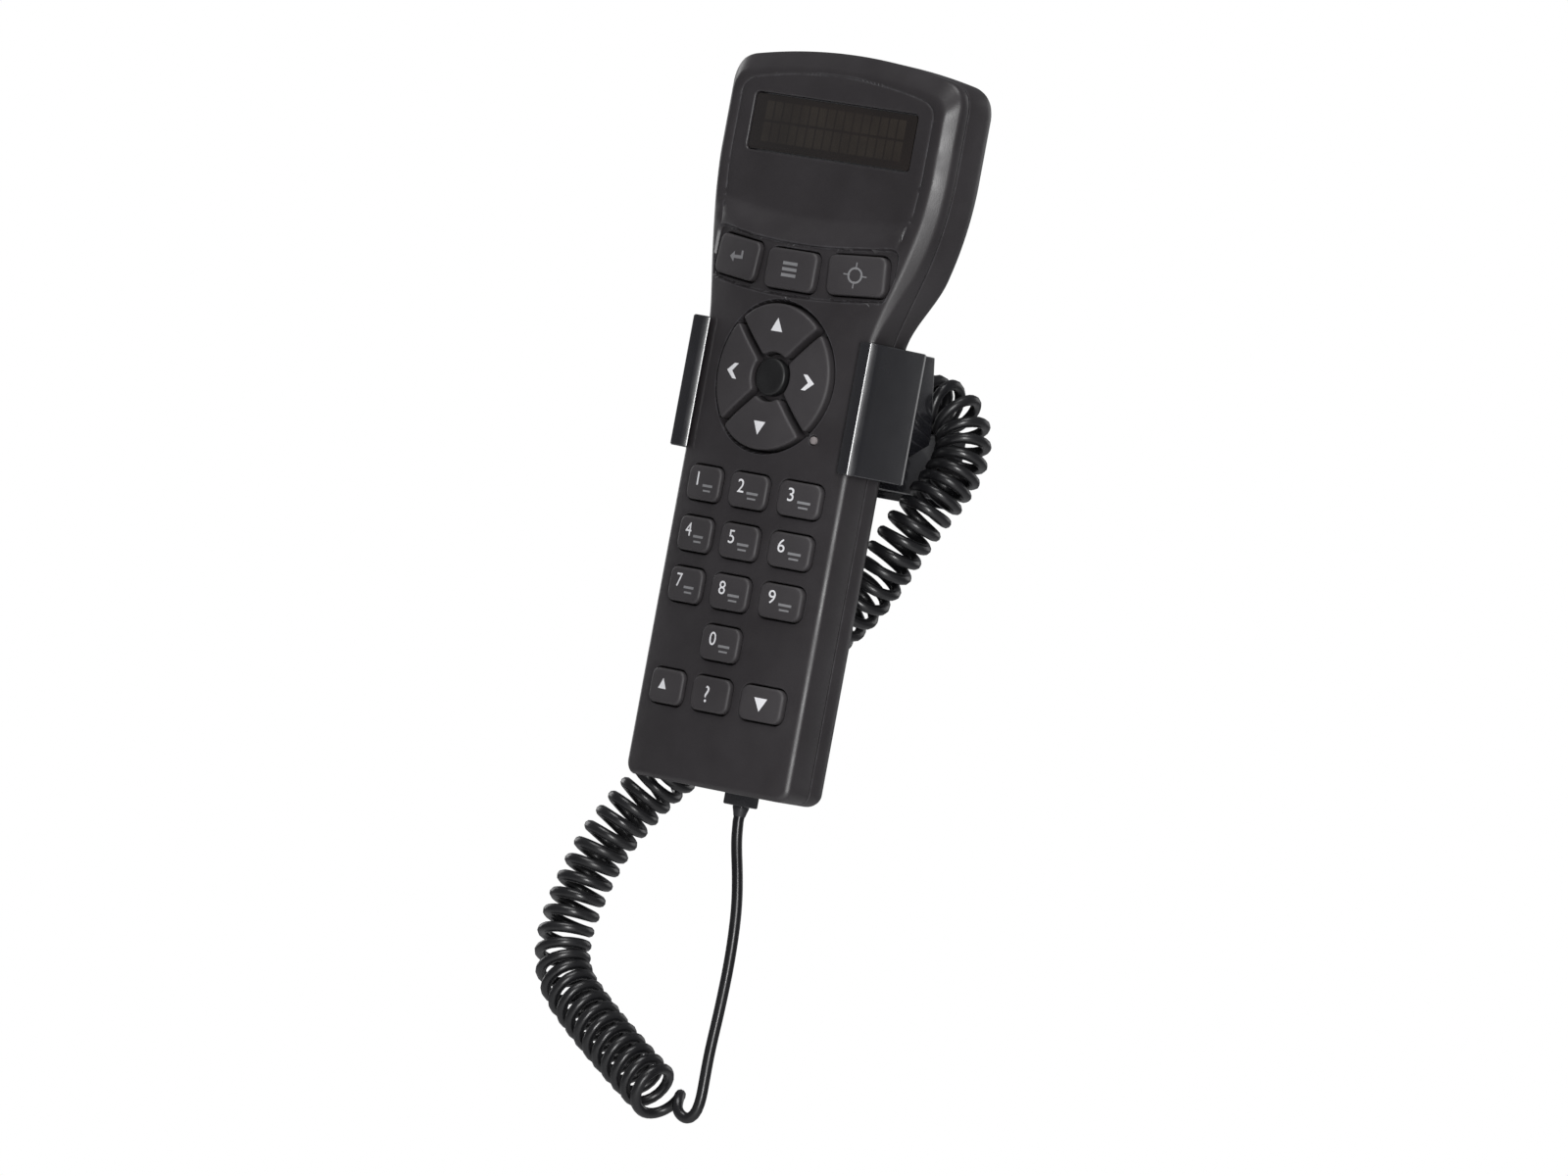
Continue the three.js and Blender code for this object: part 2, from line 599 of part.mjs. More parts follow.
function buildHandset() {
  add(handset, 'front_casing', frontCasing(), plastic(CASING_COLOR));
  add(handset, 'rear_casing', rearCasing(), plastic(CASING_COLOR));
  add(handset, 'main_board', boardShape(MAIN_BOARD), plastic(0x1d5a38, 0.5));
  const { half, x, z, front, back } = PROCESSOR;
  const chip = block(x - half, x + half, front, back, z - half, z + half);
  add(handset, 'processor', chip, plastic(0x101012, 0.5));
  add(handset, 'cord_socket', cordSocket(), plastic(0x18181a, 0.5));
  const lens = barZ(0, LIGHT.y, LIGHT.radius, LIGHT.lensLow, LENGTH, 20);
  add(handset, 'utility_lens', lens, plastic(0x8c1210, 0.15));
  const led = barZ(0, LIGHT.y, LIGHT.radius, LIGHT.ledLow, LIGHT.lensLow - GAP, 16);
  add(handset, 'utility_led', led, plastic(0xb02018, 0.3));
  CASING_SCREWS.forEach(([sx, sz], i) => {
    add(handset, `casing_screw_${i + 1}`, casingScrew(sx, sz), metal(0x3a3a3c));
  });
}

function buildHolder() {
  add(holder, 'holder_clip', holderClip(), plastic(HOLDER_COLOR, 0.4));
  add(holder, 'jaw_pad_left', jawPad(-1), plastic(0x0d0d0e, 0.9));
  add(holder, 'jaw_pad_right', jawPad(1), plastic(0x0d0d0e, 0.9));
  add(holder, 'holder_arm', holderArm(), plastic(HOLDER_COLOR, 0.5));
  HOLDER_SCREWS_Z.forEach((z, i) => add(holder, `holder_screw_${i + 1}`, holderScrew(z), metal(0x3a3a3c)));
}

function buildCord() {
  const black = plastic(CORD_COLOR, 0.35);
  const plug = plastic(0x222224, 0.25);
  add(cord, 'near_plug', modularPlug(SOCKET.x, SOCKET.y, -PLUG_DROP), plug);
  add(cord, 'cord_lead_near', tube(LEAD_NEAR_ROUTE, CORD_RADIUS, 8, 14), black);
  add(cord, 'cord_coil', tube(COIL_ROUTE, COIL_RADIUS, 10, 24), black);
  add(cord, 'cord_coil_stored', tube(STORED_ROUTE, COIL_RADIUS, 10, 28), black);
  add(cord, 'cord_tie', cordTie(), plastic(0x1a1a1c, 0.9));
  add(cord, 'cord_lead_far', tube(LEAD_FAR_ROUTE, CORD_RADIUS, 8, 13), black);
  add(cord, 'far_plug', modularPlug(FAR_PLUG.x, FAR_PLUG.y, FAR_PLUG.high - PLUG.length), plug);
}

buildKeypad();
buildDisplay();
buildHandset();
buildHolder();
buildCord();
handset.add(keypad, display);

const group = new THREE.Group();
group.add(handset, holder, cord);
[handset, holder, cord].forEach((part) => part.position.set(0, -REAR_Y, -REAR_Z));

export default group;
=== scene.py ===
import json
import math

import bmesh
import bpy
import numpy as np
from mathutils import Matrix, Vector
from mathutils.geometry import delaunay_2d_cdt


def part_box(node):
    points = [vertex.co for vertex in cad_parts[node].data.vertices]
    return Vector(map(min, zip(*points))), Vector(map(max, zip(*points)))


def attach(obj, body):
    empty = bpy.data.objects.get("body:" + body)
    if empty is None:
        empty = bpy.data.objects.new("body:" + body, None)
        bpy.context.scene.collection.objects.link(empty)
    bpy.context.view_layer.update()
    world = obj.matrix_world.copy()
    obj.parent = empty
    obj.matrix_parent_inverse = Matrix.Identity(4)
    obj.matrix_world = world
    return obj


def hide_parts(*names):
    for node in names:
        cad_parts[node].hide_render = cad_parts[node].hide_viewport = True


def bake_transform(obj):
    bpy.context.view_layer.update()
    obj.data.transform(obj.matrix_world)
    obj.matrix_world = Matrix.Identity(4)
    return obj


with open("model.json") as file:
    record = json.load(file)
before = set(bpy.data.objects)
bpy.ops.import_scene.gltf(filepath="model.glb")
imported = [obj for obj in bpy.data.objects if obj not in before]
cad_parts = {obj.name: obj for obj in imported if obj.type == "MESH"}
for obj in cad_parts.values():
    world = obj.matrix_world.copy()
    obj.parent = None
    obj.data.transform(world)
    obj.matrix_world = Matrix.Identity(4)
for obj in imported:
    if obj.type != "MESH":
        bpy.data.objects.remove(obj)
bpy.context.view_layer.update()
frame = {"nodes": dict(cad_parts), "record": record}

# A telescope hand controller in its clip holder. Shapes are drawn in millimetres in the handset's
# own frame: x from its middle, y back from the foremost line of its front, z up from its bottom.

MM = 0.001
CASING_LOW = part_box("front_casing")[0]
HANDSET_ORIGIN = np.array([0, CASING_LOW[1], CASING_LOW[2]])

# ---------------------------------------------------------------- driving sizes, mm

BODY_HALF = 27.5
HEAD_HALF = 38.3
LENGTH = 188
BOTTOM_CORNER = 3.5
LEAST_CORNER = 0.5
FLARE_LOW = 113
FLARE_HIGH = 160
SHOULDER_Z = 178
SHOULDER_INSET = 7
SHOULDER_TOP = 185.2

CROWN_RADIUS = 100  # the front is convex across its width
PANEL_Y = 5.9  # the flat display panel is set back
RIDGE_Z = 145.6  # foot of the panel at the middle; it rises towards the sides
RIDGE_RISE = 2.4
SLOPE = 0.69
BACK_Y = 20
HEAD_BACK_Y = 24
BACK_STEP = (118, 136)
FRONT_SEAM_Y = 11.85
REAR_SEAM_Y = 12.15
REAR_ROUND = 5
INNER_Y = 8.0
INNER_INSET = 2.6
REAR_WALL = 2.2

KEY_PROUD = 1.0
FUNCTION_PROUD = 0.45
KEY_BACK_Y = 8.1
NUMBER_KEY = (12.5, 8.8, 2.2)
COLUMN_PITCH = 16
NUMBER_ROWS_Z = (75.3, 62.3, 49.3)
ZERO_Z = 36.3
BOTTOM_ROW_Z = 23.3
FUNCTION_KEY = (16.4, 10.2, 2.0)
FUNCTION_PITCH = 20
FUNCTION_Z = 131.8
FUNCTION_RISE = 1.2
FUNCTION_TURN = 0.09
FUNCTION_DEPTH = 0.9
PAD_Z = 104.5
PAD_INNER = 6.3
PAD_OUTER = 18.6
PAD_RIB = 1.9
PAD_POCKET = 19.3
PAD_DEPTH = 2.2
WINDOW = (54, 14.2, 1.0)
WINDOW_Z = 168
LIGHT_DOT = (16.6, 90.6, 1.0)

NEAR_PLUG = (4.5, 13.8)  # x and y of the plug in the handset's lower end
FAR_PLUG = (-54, 45)
TIE_RUNS = ((-24.5, 52), (-40.5, 48))  # x and y of the two runs of stored coil that the tie holds
TIE_Z = (64.3, 75.7)

CORD_RADIUS = 1.4
HELIX_RADIUS = 5.85
COIL_PITCH = 4.5
STORED_PITCH = 3.2
LEAD_NEAR_ROUTE = [
    (4.5, 13.8, -3.3), (4.6, 13.8, -10), (6.6, 13.8, -17), (9, 13.8, -27), (10.2, 13.6, -40),
    (10.2, 13.3, -54), (10, 12.7, -66), (10.6, 12.1, -75), (10.4, 11.8, -81), (8.2, 11.5, -83.7),
    (4.77, 11.49, -82.13),
]
COIL_ROUTE = [
    (4.5, 11.5, -82), (-8.2, 12, -76), (-21.7, 13, -69), (-34.4, 14.5, -62), (-44.8, 16, -55),
    (-48.5, 17, -49), (-49.5, 18, -42), (-48.8, 20, -32), (-46.8, 22.5, -21), (-43.1, 25, -12),
    (-38.5, 28.5, -3), (-29.4, 31, 7.5), (-15.7, 33.5, 24), (-0.3, 34, 40), (11.2, 34.5, 51),
    (16.8, 35, 59), (20.7, 36.5, 68), (24, 38.6, 76.5), (25.6, 41, 81.1), (26.2, 42.8, 84.5),
]
STORED_ROUTE = [
    (26.27, 43.01, 84.9), (26.8, 44.6, 87.9), (26.6, 47.4, 93), (24, 49.6, 99.5),
    (19.4, 50.4, 104.8), (11.5, 50.5, 106.2), (0, 50.5, 106), (-11.5, 50.5, 106.2),
    (-19.4, 50.8, 104.8), (-23.6, 51.6, 98.5), (-24.5, 52, 90), (-24.5, 52, 78), (-24.5, 52, 62),
    (-24.5, 52, 44), (-25.3, 51.8, 29), (-30, 50.3, 19), (-37.8, 47.8, 15.2), (-45.5, 45.5, 19),
    (-49.3, 44.4, 28), (-47.5, 45.2, 42), (-42, 47.4, 56), (-40.5, 48, 65), (-40.5, 48, 76),
    (-40.5, 48, 84),
]
LEAD_FAR_ROUTE = [
    (-40.5, 48, 84.3), (-40.5, 48, 90), (-40.8, 47.9, 97), (-42.4, 47.6, 102.5), (-46, 47, 105.8),
    (-50, 46.2, 105.2), (-53.1, 45.7, 101), (-54, 45.3, 94), (-54, 45.1, 85), (-54, 45, 76.3),
]
BEND_KNOT = 6  # the coil's leftmost point, where the stretch that follows the handset ends
ROUTE_STEPS = 24  # samples of the route between two of its points
WIRE_STEP = 0.22
SMOOTH_REACH = 22  # wire steps to each side


def place(points):
    """Handset millimetres to metres in the row frame."""
    return np.asarray(points, float) * MM + HANDSET_ORIGIN


def smoothstep(low, high, value):
    share = np.clip((np.asarray(value, float) - low) / (high - low), 0, 1)
    return share * share * (3 - 2 * share)


# ---------------------------------------------------------------- camera, light and floor

VIEW_AZIMUTH = 40.8
VIEW_ROLL = 10.5
VIEW_DISTANCE = 3.0
VIEW_HEIGHT = 0.3
VIEW_CENTRE = (-0.0225, -0.016, -0.037)


def around(target, azimuth, elevation, distance):
    """A point at that azimuth and elevation from the target; azimuth 0 is in front of the keys."""
    a, e = math.radians(azimuth), math.radians(elevation)
    back = Vector((math.sin(a) * math.cos(e), -math.cos(a) * math.cos(e), math.sin(e)))
    return Vector(target) + back * distance


def make_camera():
    data = bpy.data.cameras.new("camera")
    data.sensor_width = 36
    data.lens = data.sensor_width * VIEW_DISTANCE / (VIEW_HEIGHT * 4 / 3)
    data.clip_start = 0.1
    data.clip_end = 50
    camera = bpy.data.objects.new("camera", data)
    bpy.context.collection.objects.link(camera)
    camera.location = around(VIEW_CENTRE, VIEW_AZIMUTH, 0, VIEW_DISTANCE)
    look = (Vector(VIEW_CENTRE) - camera.location).to_track_quat("-Z", "Y")
    camera.rotation_mode = "QUATERNION"
    camera.rotation_quaternion = look @ Matrix.Rotation(math.radians(VIEW_ROLL), 3, "Z").to_quaternion()
    bpy.context.scene.camera = camera


def softbox(name, azimuth, elevation, distance, size, power):
    data = bpy.data.lights.new(name, "AREA")
    data.shape = "RECTANGLE"
    data.size, data.size_y = size
    data.energy = power
    light = bpy.data.objects.new(name, data)
    bpy.context.collection.objects.link(light)
    light.location = around((0, 0, 0), azimuth, elevation, distance)
    light.rotation_mode = "QUATERNION"
    light.rotation_quaternion = (-light.location).to_track_quat("-Z", "Y")
    light.visible_camera = False


def make_world():
    """White behind the object for the camera, and a dimmer even fill for everything else."""
    world = bpy.data.worlds.new("studio")
    bpy.context.scene.world = world
    world.use_nodes = True
    tree = world.node_tree
    tree.nodes.clear()
    seen = add(tree, "ShaderNodeBackground", {"Color": (1, 1, 1, 1), "Strength": 1.0})
    fill = add(tree, "ShaderNodeBackground", {"Color": (0.96, 0.96, 1, 1), "Strength": 0.18})
    path = add(tree, "ShaderNodeLightPath")
    shares = {0: path.outputs["Is Camera Ray"], 1: fill.outputs[0], 2: seen.outputs[0]}
    mix = add(tree, "ShaderNodeMixShader", shares)
    add(tree, "ShaderNodeOutputWorld", {"Surface": mix.outputs[0]})


def make_floor():
    bpy.ops.mesh.primitive_circle_add(vertices=96, radius=4, fill_type="NGON", location=(0, 0, -1.2))
    floor = bpy.context.object
    floor.name = "floor"
    tree, shader = new_material("floor_paint")
    colour = ramp(tree, noise(tree, 3, 2), [(0.3, (0.84, 0.84, 0.85)), (0.7, (0.88, 0.88, 0.88))])
    link(tree, colour, shader, "Base Color")
    shader.inputs["Roughness"].default_value = 0.7
    floor.data.materials.append(bpy.data.materials["floor_paint"])


# ---------------------------------------------------------------- material nodes


def add(tree, kind, inputs=None, **settings):
    node = tree.nodes.new(kind)
    for name, value in settings.items():
        setattr(node, name, value)
    for name, value in (inputs or {}).items():
        if isinstance(value, bpy.types.NodeSocket):
            tree.links.new(value, node.inputs[name])
        else:
            node.inputs[name].default_value = value
    return node


def link(tree, socket, node, name):
    tree.links.new(socket, node.inputs[name])


def new_material(name):
    material = bpy.data.materials.new(name)
    material.use_nodes = True
    tree = material.node_tree
    return tree, tree.nodes["Principled BSDF"]


def coordinates(tree, stretch=(1, 1, 1)):
    place_node = add(tree, "ShaderNodeTexCoord")
    mapping = add(tree, "ShaderNodeMapping", {"Vector": place_node.outputs["Object"], "Scale": stretch})
    return mapping.outputs["Vector"]


def noise(tree, scale, detail=3, stretch=(1, 1, 1)):
    values = {"Vector": coordinates(tree, stretch), "Scale": scale, "Detail": detail}
    return add(tree, "ShaderNodeTexNoise", values).outputs["Fac"]


def ramp(tree, socket, stops):
    made = add(tree, "ShaderNodeValToRGB", {"Fac": socket})
    elements = made.color_ramp.elements
    while len(elements) < len(stops):
        elements.new(0.5)
    for element, (position, colour) in zip(elements, stops):
        element.position = position
        element.color = (*colour, 1)
    return made.outputs["Color"]


def spread(tree, socket, low, high, start=0.0, end=1.0):
    """The socket's value from start..end carried to low..high."""
    values = {"Value": socket, "From Min": start, "From Max": end, "To Min": low, "To Max": high}
    return add(tree, "ShaderNodeMapRange", values).outputs["Result"]


def calculate(tree, operation, a, b):
    return add(tree, "ShaderNodeMath", {0: a, 1: b}, operation=operation).outputs[0]


def blended(tree, factor, a, b):
    made = add(tree, "ShaderNodeMix", {0: factor, 6: a, 7: b}, data_type="RGBA")
    return made.outputs[2]


def edge_wear_and_highlight(tree, radius, strength):
    """0 on flat faces and up to strength along edges, broken up by noise: rubbed wear and a painted highlight
    on the edges in one.
    """
    rounded = add(tree, "ShaderNodeBevel", {"Radius": radius}, samples=4)
    true = add(tree, "ShaderNodeNewGeometry")
    both = {0: rounded.outputs["Normal"], 1: true.outputs["Normal"]}
    facing = add(tree, "ShaderNodeVectorMath", both, operation="DOT_PRODUCT").outputs["Value"]
    edge = spread(tree, facing, strength, 0, 0.86, 0.995)
    return calculate(tree, "MULTIPLY", edge, spread(tree, noise(tree, 320, 4), 0.25, 1, 0.35, 0.65))


def relief(tree, shader, strength, distance, height):
    """Bumps on a shader, with the distance in metres."""
    values = {"Strength": strength, "Distance": distance, "Height": height}
    link(tree, add(tree, "ShaderNodeBump", values).outputs["Normal"], shader, "Normal")


def moulded(name, dark, light, rough, grain, depth, wear_and_highlight=None, coat=0.0):
    """Moulded plastic or rubber: cloudy colour, fine grain, uneven gloss, and edges lightened as rubbed wear
    and as a painted highlight.
    """
    tree, shader = new_material(name)
    colour = ramp(tree, noise(tree, 60, 4), [(0.3, dark), (0.72, light)])
    roughness = spread(tree, noise(tree, 160, 3), rough[0], rough[1], 0.3, 0.7)
    if wear_and_highlight:
        # the edge mask lightens the colour: partly rubbed wear, partly a painted highlight along the edges
        mask = edge_wear_and_highlight(tree, wear_and_highlight[0] * MM, wear_and_highlight[1])
        colour = blended(tree, mask, colour, (*wear_and_highlight[2], 1))
        roughness = calculate(tree, "SUBTRACT", roughness, calculate(tree, "MULTIPLY", mask, 0.15))
    link(tree, colour, shader, "Base Color")
    link(tree, roughness, shader, "Roughness")
    shader.inputs["Coat Weight"].default_value = coat
    relief(tree, shader, 0.55, depth * MM, noise(tree, 1 / (grain * MM), 2))
    return bpy.data.materials[name]


def brushed(name, dark, light, rough, stretch):
    """Metal with fine brushed lines."""
    tree, shader = new_material(name)
    lines = noise(tree, 900, 3, stretch)
    link(tree, ramp(tree, lines, [(0.3, dark), (0.7, light)]), shader, "Base Color")
    link(tree, spread(tree, lines, rough[0], rough[1], 0.3, 0.7), shader, "Roughness")
    shader.inputs["Metallic"].default_value = 1
    relief(tree, shader, 0.4, 0.02 * MM, lines)
    return bpy.data.materials[name]


def make_display_material():
    """Smoked window over two faint rows of sixteen character cells."""
    tree, shader = new_material("display_cells")
    position = add(tree, "ShaderNodeSeparateXYZ", {0: coordinates(tree)})
    cell, row_height, gap = 2.95 * MM, 5.6 * MM, 0.16
    across = calculate(tree, "FRACT", calculate(tree, "DIVIDE", position.outputs["X"], cell), 0)
    row = calculate(tree, "SUBTRACT", position.outputs["Z"], place((0, 0, WINDOW_Z))[2])
    up = calculate(tree, "DIVIDE", row, row_height)
    near = calculate(tree, "LESS_THAN", calculate(tree, "ABSOLUTE", up, 0), 0.97)
    inside_z = calculate(tree, "GREATER_THAN", calculate(tree, "FRACT", up, 0), gap * 0.7)
    inside_x = calculate(tree, "GREATER_THAN", across, gap)
    width = calculate(tree, "LESS_THAN", calculate(tree, "ABSOLUTE", position.outputs["X"], 0), 8 * cell)
    cells = calculate(tree, "MULTIPLY", inside_x, inside_z)
    mask = calculate(tree, "MULTIPLY", cells, calculate(tree, "MULTIPLY", near, width))
    glow = calculate(tree, "MULTIPLY", mask, spread(tree, noise(tree, 90, 2), 0.25, 0.7, 0.3, 0.7))
    base = ramp(tree, noise(tree, 40, 2), [(0.3, (0.0085, 0.006, 0.005)), (0.7, (0.013, 0.0095, 0.008))])
    link(tree, blended(tree, glow, base, (0.03, 0.024, 0.018, 1)), shader, "Base Color")
    link(tree, spread(tree, noise(tree, 700, 3), 0.1, 0.2, 0.3, 0.7), shader, "Roughness")
    shader.inputs["Coat Weight"].default_value = 0.6
    return bpy.data.materials["display_cells"]


# look, dark and light colour, least and most roughness, grain and bump depth in mm, then where they
# apply the lightened edges, rubbed wear and painted highlight in one (radius in mm, strength and
# colour), and the clear coat
MOULDED = {
    # the casing's lightened edges are partly rubbed wear, partly a painted highlight along its rims
    "casing_plastic": (
        "casing_grain", (0.021, 0.0185, 0.020), (0.030, 0.027, 0.0292), (0.34, 0.46), 0.32, 0.045,
        (0.5, 0.6, (0.13, 0.13, 0.14)),
    ),
    "key_rubber": (
        "key_silicone", (0.029, 0.026, 0.028), (0.039, 0.0355, 0.038), (0.5, 0.62), 0.2, 0.025,
        (0.45, 0.3, (0.1, 0.1, 0.105)),
    ),
    "pad_hub_plastic": (
        "hub_plastic", (0.0025, 0.0025, 0.003), (0.0055, 0.0055, 0.006), (0.45, 0.6), 0.2, 0.02,
    ),
    "indicator_lens": (
        "frosted_lens", (0.2, 0.18, 0.18), (0.3, 0.27, 0.27), (0.25, 0.4), 0.15, 0.02, None, 0.3,
    ),
    "display_glass": (
        "liquid_crystal", (0.04, 0.06, 0.03), (0.06, 0.08, 0.05), (0.05, 0.12), 0.5, 0.005,
    ),
    "light_guide": (
        "light_guide_plastic", (0.62, 0.62, 0.58), (0.75, 0.75, 0.7), (0.3, 0.4), 0.5, 0.01,
    ),
    "board_laminate": (
        "green_laminate", (0.012, 0.09, 0.035), (0.025, 0.15, 0.06), (0.3, 0.45), 0.6, 0.03,
    ),
    "ribbon_film": ("amber_film", (0.35, 0.17, 0.05), (0.5, 0.28, 0.1), (0.25, 0.35), 0.5, 0.01),
    "chip_plastic": (
        "chip_package", (0.007, 0.007, 0.008), (0.013, 0.013, 0.015), (0.5, 0.6), 0.1, 0.02,
    ),
    "mat_rubber": (
        "silicone_sheet", (0.022, 0.022, 0.024), (0.036, 0.036, 0.038), (0.55, 0.65), 0.3, 0.02,
    ),
    "socket_plastic": (
        "socket_shell", (0.01, 0.01, 0.012), (0.018, 0.018, 0.02), (0.4, 0.5), 0.2, 0.02,
    ),
    "lamp_red": (
        "red_lens", (0.28, 0.006, 0.006), (0.4, 0.015, 0.012), (0.08, 0.16), 0.6, 0.01, None, 0.5,
    ),
    # the holder's lightened edges are partly rubbed wear, partly a painted highlight along its jaws
    "holder_plastic": (
        "holder_satin", (0.0068, 0.0068, 0.0084), (0.0112, 0.0112, 0.0138), (0.2, 0.28), 0.4, 0.01,
        (0.35, 0.25, (0.05, 0.05, 0.055)), 1.0,
    ),
    "grip_rubber": (
        "grip_strip", (0.006, 0.006, 0.006), (0.011, 0.011, 0.011), (0.6, 0.75), 0.25, 0.05,
    ),
    "cord_jacket": (
        "cord_vinyl", (0.006, 0.006, 0.007), (0.012, 0.012, 0.013), (0.24, 0.38), 0.5, 0.02,
    ),
    "plug_plastic": (
        "plug_shell", (0.012, 0.012, 0.014), (0.024, 0.024, 0.027), (0.12, 0.25), 0.8, 0.01, None, 0.3,
    ),
    "white_print": (
        "white_print", (0.62, 0.62, 0.64), (0.78, 0.78, 0.8), (0.45, 0.6), 0.12, 0.01,
    ),
    "grey_print": (
        "grey_print", (0.16, 0.16, 0.165), (0.24, 0.24, 0.25), (0.45, 0.6), 0.12, 0.01,
    ),
    "blank_label": (
        "label_film", (0.07, 0.07, 0.074), (0.09, 0.09, 0.095), (0.35, 0.45), 0.4, 0.01,
    ),
}
# look, dark and light colour, least and most roughness, stretch of the brushed lines
BRUSHED = {
    "bezel_steel": (
        "pressed_steel", (0.36, 0.37, 0.38), (0.5, 0.51, 0.52), (0.25, 0.4), (1, 12, 12),
    ),
    "screw_steel": (
        "black_oxide", (0.035, 0.035, 0.038), (0.075, 0.075, 0.08), (0.32, 0.5), (8, 1, 8),
    ),
    "contact_gold": ("contact_gold", (0.6, 0.4, 0.12), (0.8, 0.58, 0.22), (0.2, 0.35), (1, 1, 9)),
}
MATERIALS = {}  # by the slot's name; prints, contacts and label have a name of their own


def make_materials():
    MATERIALS.update({name: moulded(*row) for name, row in MOULDED.items()})
    MATERIALS.update({name: brushed(*row) for name, row in BRUSHED.items()})
    MATERIALS["window_plastic"] = make_display_material()
    MATERIALS["tie_fabric"] = make_strap_material()


def make_strap_material():
    """Woven black strap, with the thread crossing in both directions."""
    tree, shader = new_material("strap_weave")
    position = add(tree, "ShaderNodeSeparateXYZ", {0: coordinates(tree)})
    thread = 2 * math.pi / (0.7 * MM)
    lengthwise = calculate(tree, "ADD", position.outputs["X"], position.outputs["Y"])
    warp = calculate(tree, "SINE", calculate(tree, "MULTIPLY", lengthwise, thread), 0)
    weft = calculate(tree, "SINE", calculate(tree, "MULTIPLY", position.outputs["Z"], thread), 0)
    weave = calculate(tree, "MULTIPLY", warp, weft)
    fuzz = noise(tree, 2500, 3)
    shades = [(0.2, (0.006, 0.006, 0.0065)), (0.8, (0.018, 0.018, 0.02))]
    colour = ramp(tree, spread(tree, weave, 0, 1, -1, 1), shades)
    link(tree, colour, shader, "Base Color")
    link(tree, spread(tree, fuzz, 0.75, 0.95, 0.3, 0.7), shader, "Roughness")
    shader.inputs["Sheen Weight"].default_value = 0.3
    relief(tree, shader, 0.7, 0.12 * MM, calculate(tree, "ADD", weave, fuzz))
    return bpy.data.materials["strap_weave"]


# ---------------------------------------------------------------- mesh tools


class Shape:
    """Points and faces of one piece, in handset millimetres."""

    def __init__(self):
        self.points = []
        self.faces = []

    def ring(self, points):
        first = len(self.points)
        self.points.extend(tuple(map(float, p)) for p in points)
        return list(range(first, len(self.points)))

    def band(self, a, b):
        count = len(a)
        for i in range(count):
            j = (i + 1) % count
            self.faces.append((a[i], a[j], b[j], b[i]))

    def loft(self, rings):
        """Joins rings of equal count, and returns the first and the last."""
        made = [self.ring(r) for r in rings]
        for a, b in zip(made, made[1:]):
            self.band(a, b)
        return made[0], made[-1]

    def cap(self, ring):
        self.faces.append(tuple(ring))

    def solid(self, rings):
        """A closed solid through the rings, with a flat face at each end."""
        for end in self.loft(rings):
            self.cap(end)

    def fan(self, ring, centre):
        middle = self.ring([centre])[0]
        for a, b in zip(ring, ring[1:] + ring[:1]):
            self.faces.append((a, b, middle))


def mesh_object(name, points, faces, sharp=35):
    mesh = bpy.data.meshes.new(name)
    mesh.from_pydata(place(points).tolist(), [], faces)
    work = bmesh.new()
    work.from_mesh(mesh)
    bmesh.ops.remove_doubles(work, verts=work.verts, dist=0.002 * MM)
    bmesh.ops.recalc_face_normals(work, faces=work.faces)
    work.to_mesh(mesh)
    work.free()
    mesh.shade_smooth()
    mesh.set_sharp_from_angle(angle=math.radians(sharp))
    piece = bpy.data.objects.new(name, mesh)
    bpy.context.collection.objects.link(piece)
    return piece


def settle(piece, body, slot, *nodes, look=None):
    """Paints a piece, hangs it on the body it rides on, and hides the CAD nodes it stands for."""
    piece.data.materials.clear()
    piece.data.materials.append(MATERIALS[look or slot])
    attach(piece, body)
    if nodes:
        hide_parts(*nodes)
    return piece


def applied(piece, sharp=35):
    """The piece with its modifiers made part of its mesh."""
    bpy.context.view_layer.update()
    evaluated = piece.evaluated_get(bpy.context.evaluated_depsgraph_get())
    piece.data = bpy.data.meshes.new_from_object(evaluated)
    piece.modifiers.clear()
    piece.data.shade_smooth()
    piece.data.set_sharp_from_angle(angle=math.radians(sharp))
    return piece


def combined(piece, others, operation):
    for other in others:
        step = piece.modifiers.new("step", "BOOLEAN")
        step.operation = operation
        step.solver = "EXACT"
        step.object = other
    applied(piece)
    for other in others:
        bpy.data.objects.remove(other)
    return piece


def bevelled(piece, width, segments=3, angle=30):
    step = piece.modifiers.new("edges", "BEVEL")
    step.width = width * MM
    step.segments = segments
    step.limit_method = "ANGLE"
    step.angle_limit = math.radians(angle)
    step.use_clamp_overlap = True
    return applied(piece)


def arc(centre, radius, start, end, steps):
    angles = np.radians(np.linspace(start, end, steps + 1))
    return [(centre[0] + radius * math.cos(a), centre[1] + radius * math.sin(a)) for a in angles]


def circle(radius, x, z, steps=40):
    return np.array(arc((x, z), radius, 0, 360 * (steps - 1) / steps, steps - 1))


def rounded_box(width, height, corner, steps=6, side_steps=6):
    """Outline of a rounded rectangle round the origin, counter-clockwise."""
    x, y = width / 2 - corner, height / 2 - corner
    turns = [
        arc((sx * x, sy * y), corner, start, start + 90, steps)
        for sx, sy, start in ((1, 1, 0), (-1, 1, 90), (-1, -1, 180), (1, -1, 270))
    ]
    outline = []
    for here, after in zip(turns, turns[1:] + turns[:1]):
        outline += here
        a, b = here[-1], after[0]
        outline += [
            (a[0] + (b[0] - a[0]) * k / side_steps, a[1] + (b[1] - a[1]) * k / side_steps)
            for k in range(1, side_steps)
        ]
    return np.array(outline)


def turned(outline, angle):
    c, s = math.cos(angle), math.sin(angle)
    return outline @ np.array([[c, s], [-s, c]])


def normals_of(outline):
    """Outward unit normals of a counter-clockwise closed outline."""
    along = np.roll(outline, -1, axis=0) - np.roll(outline, 1, axis=0)
    along /= np.linalg.norm(along, axis=1)[:, None]
    return np.stack([along[:, 1], -along[:, 0]], axis=1)


def grown(outline, amount):
    return outline + normals_of(outline) * np.asarray(amount).reshape(-1, 1)


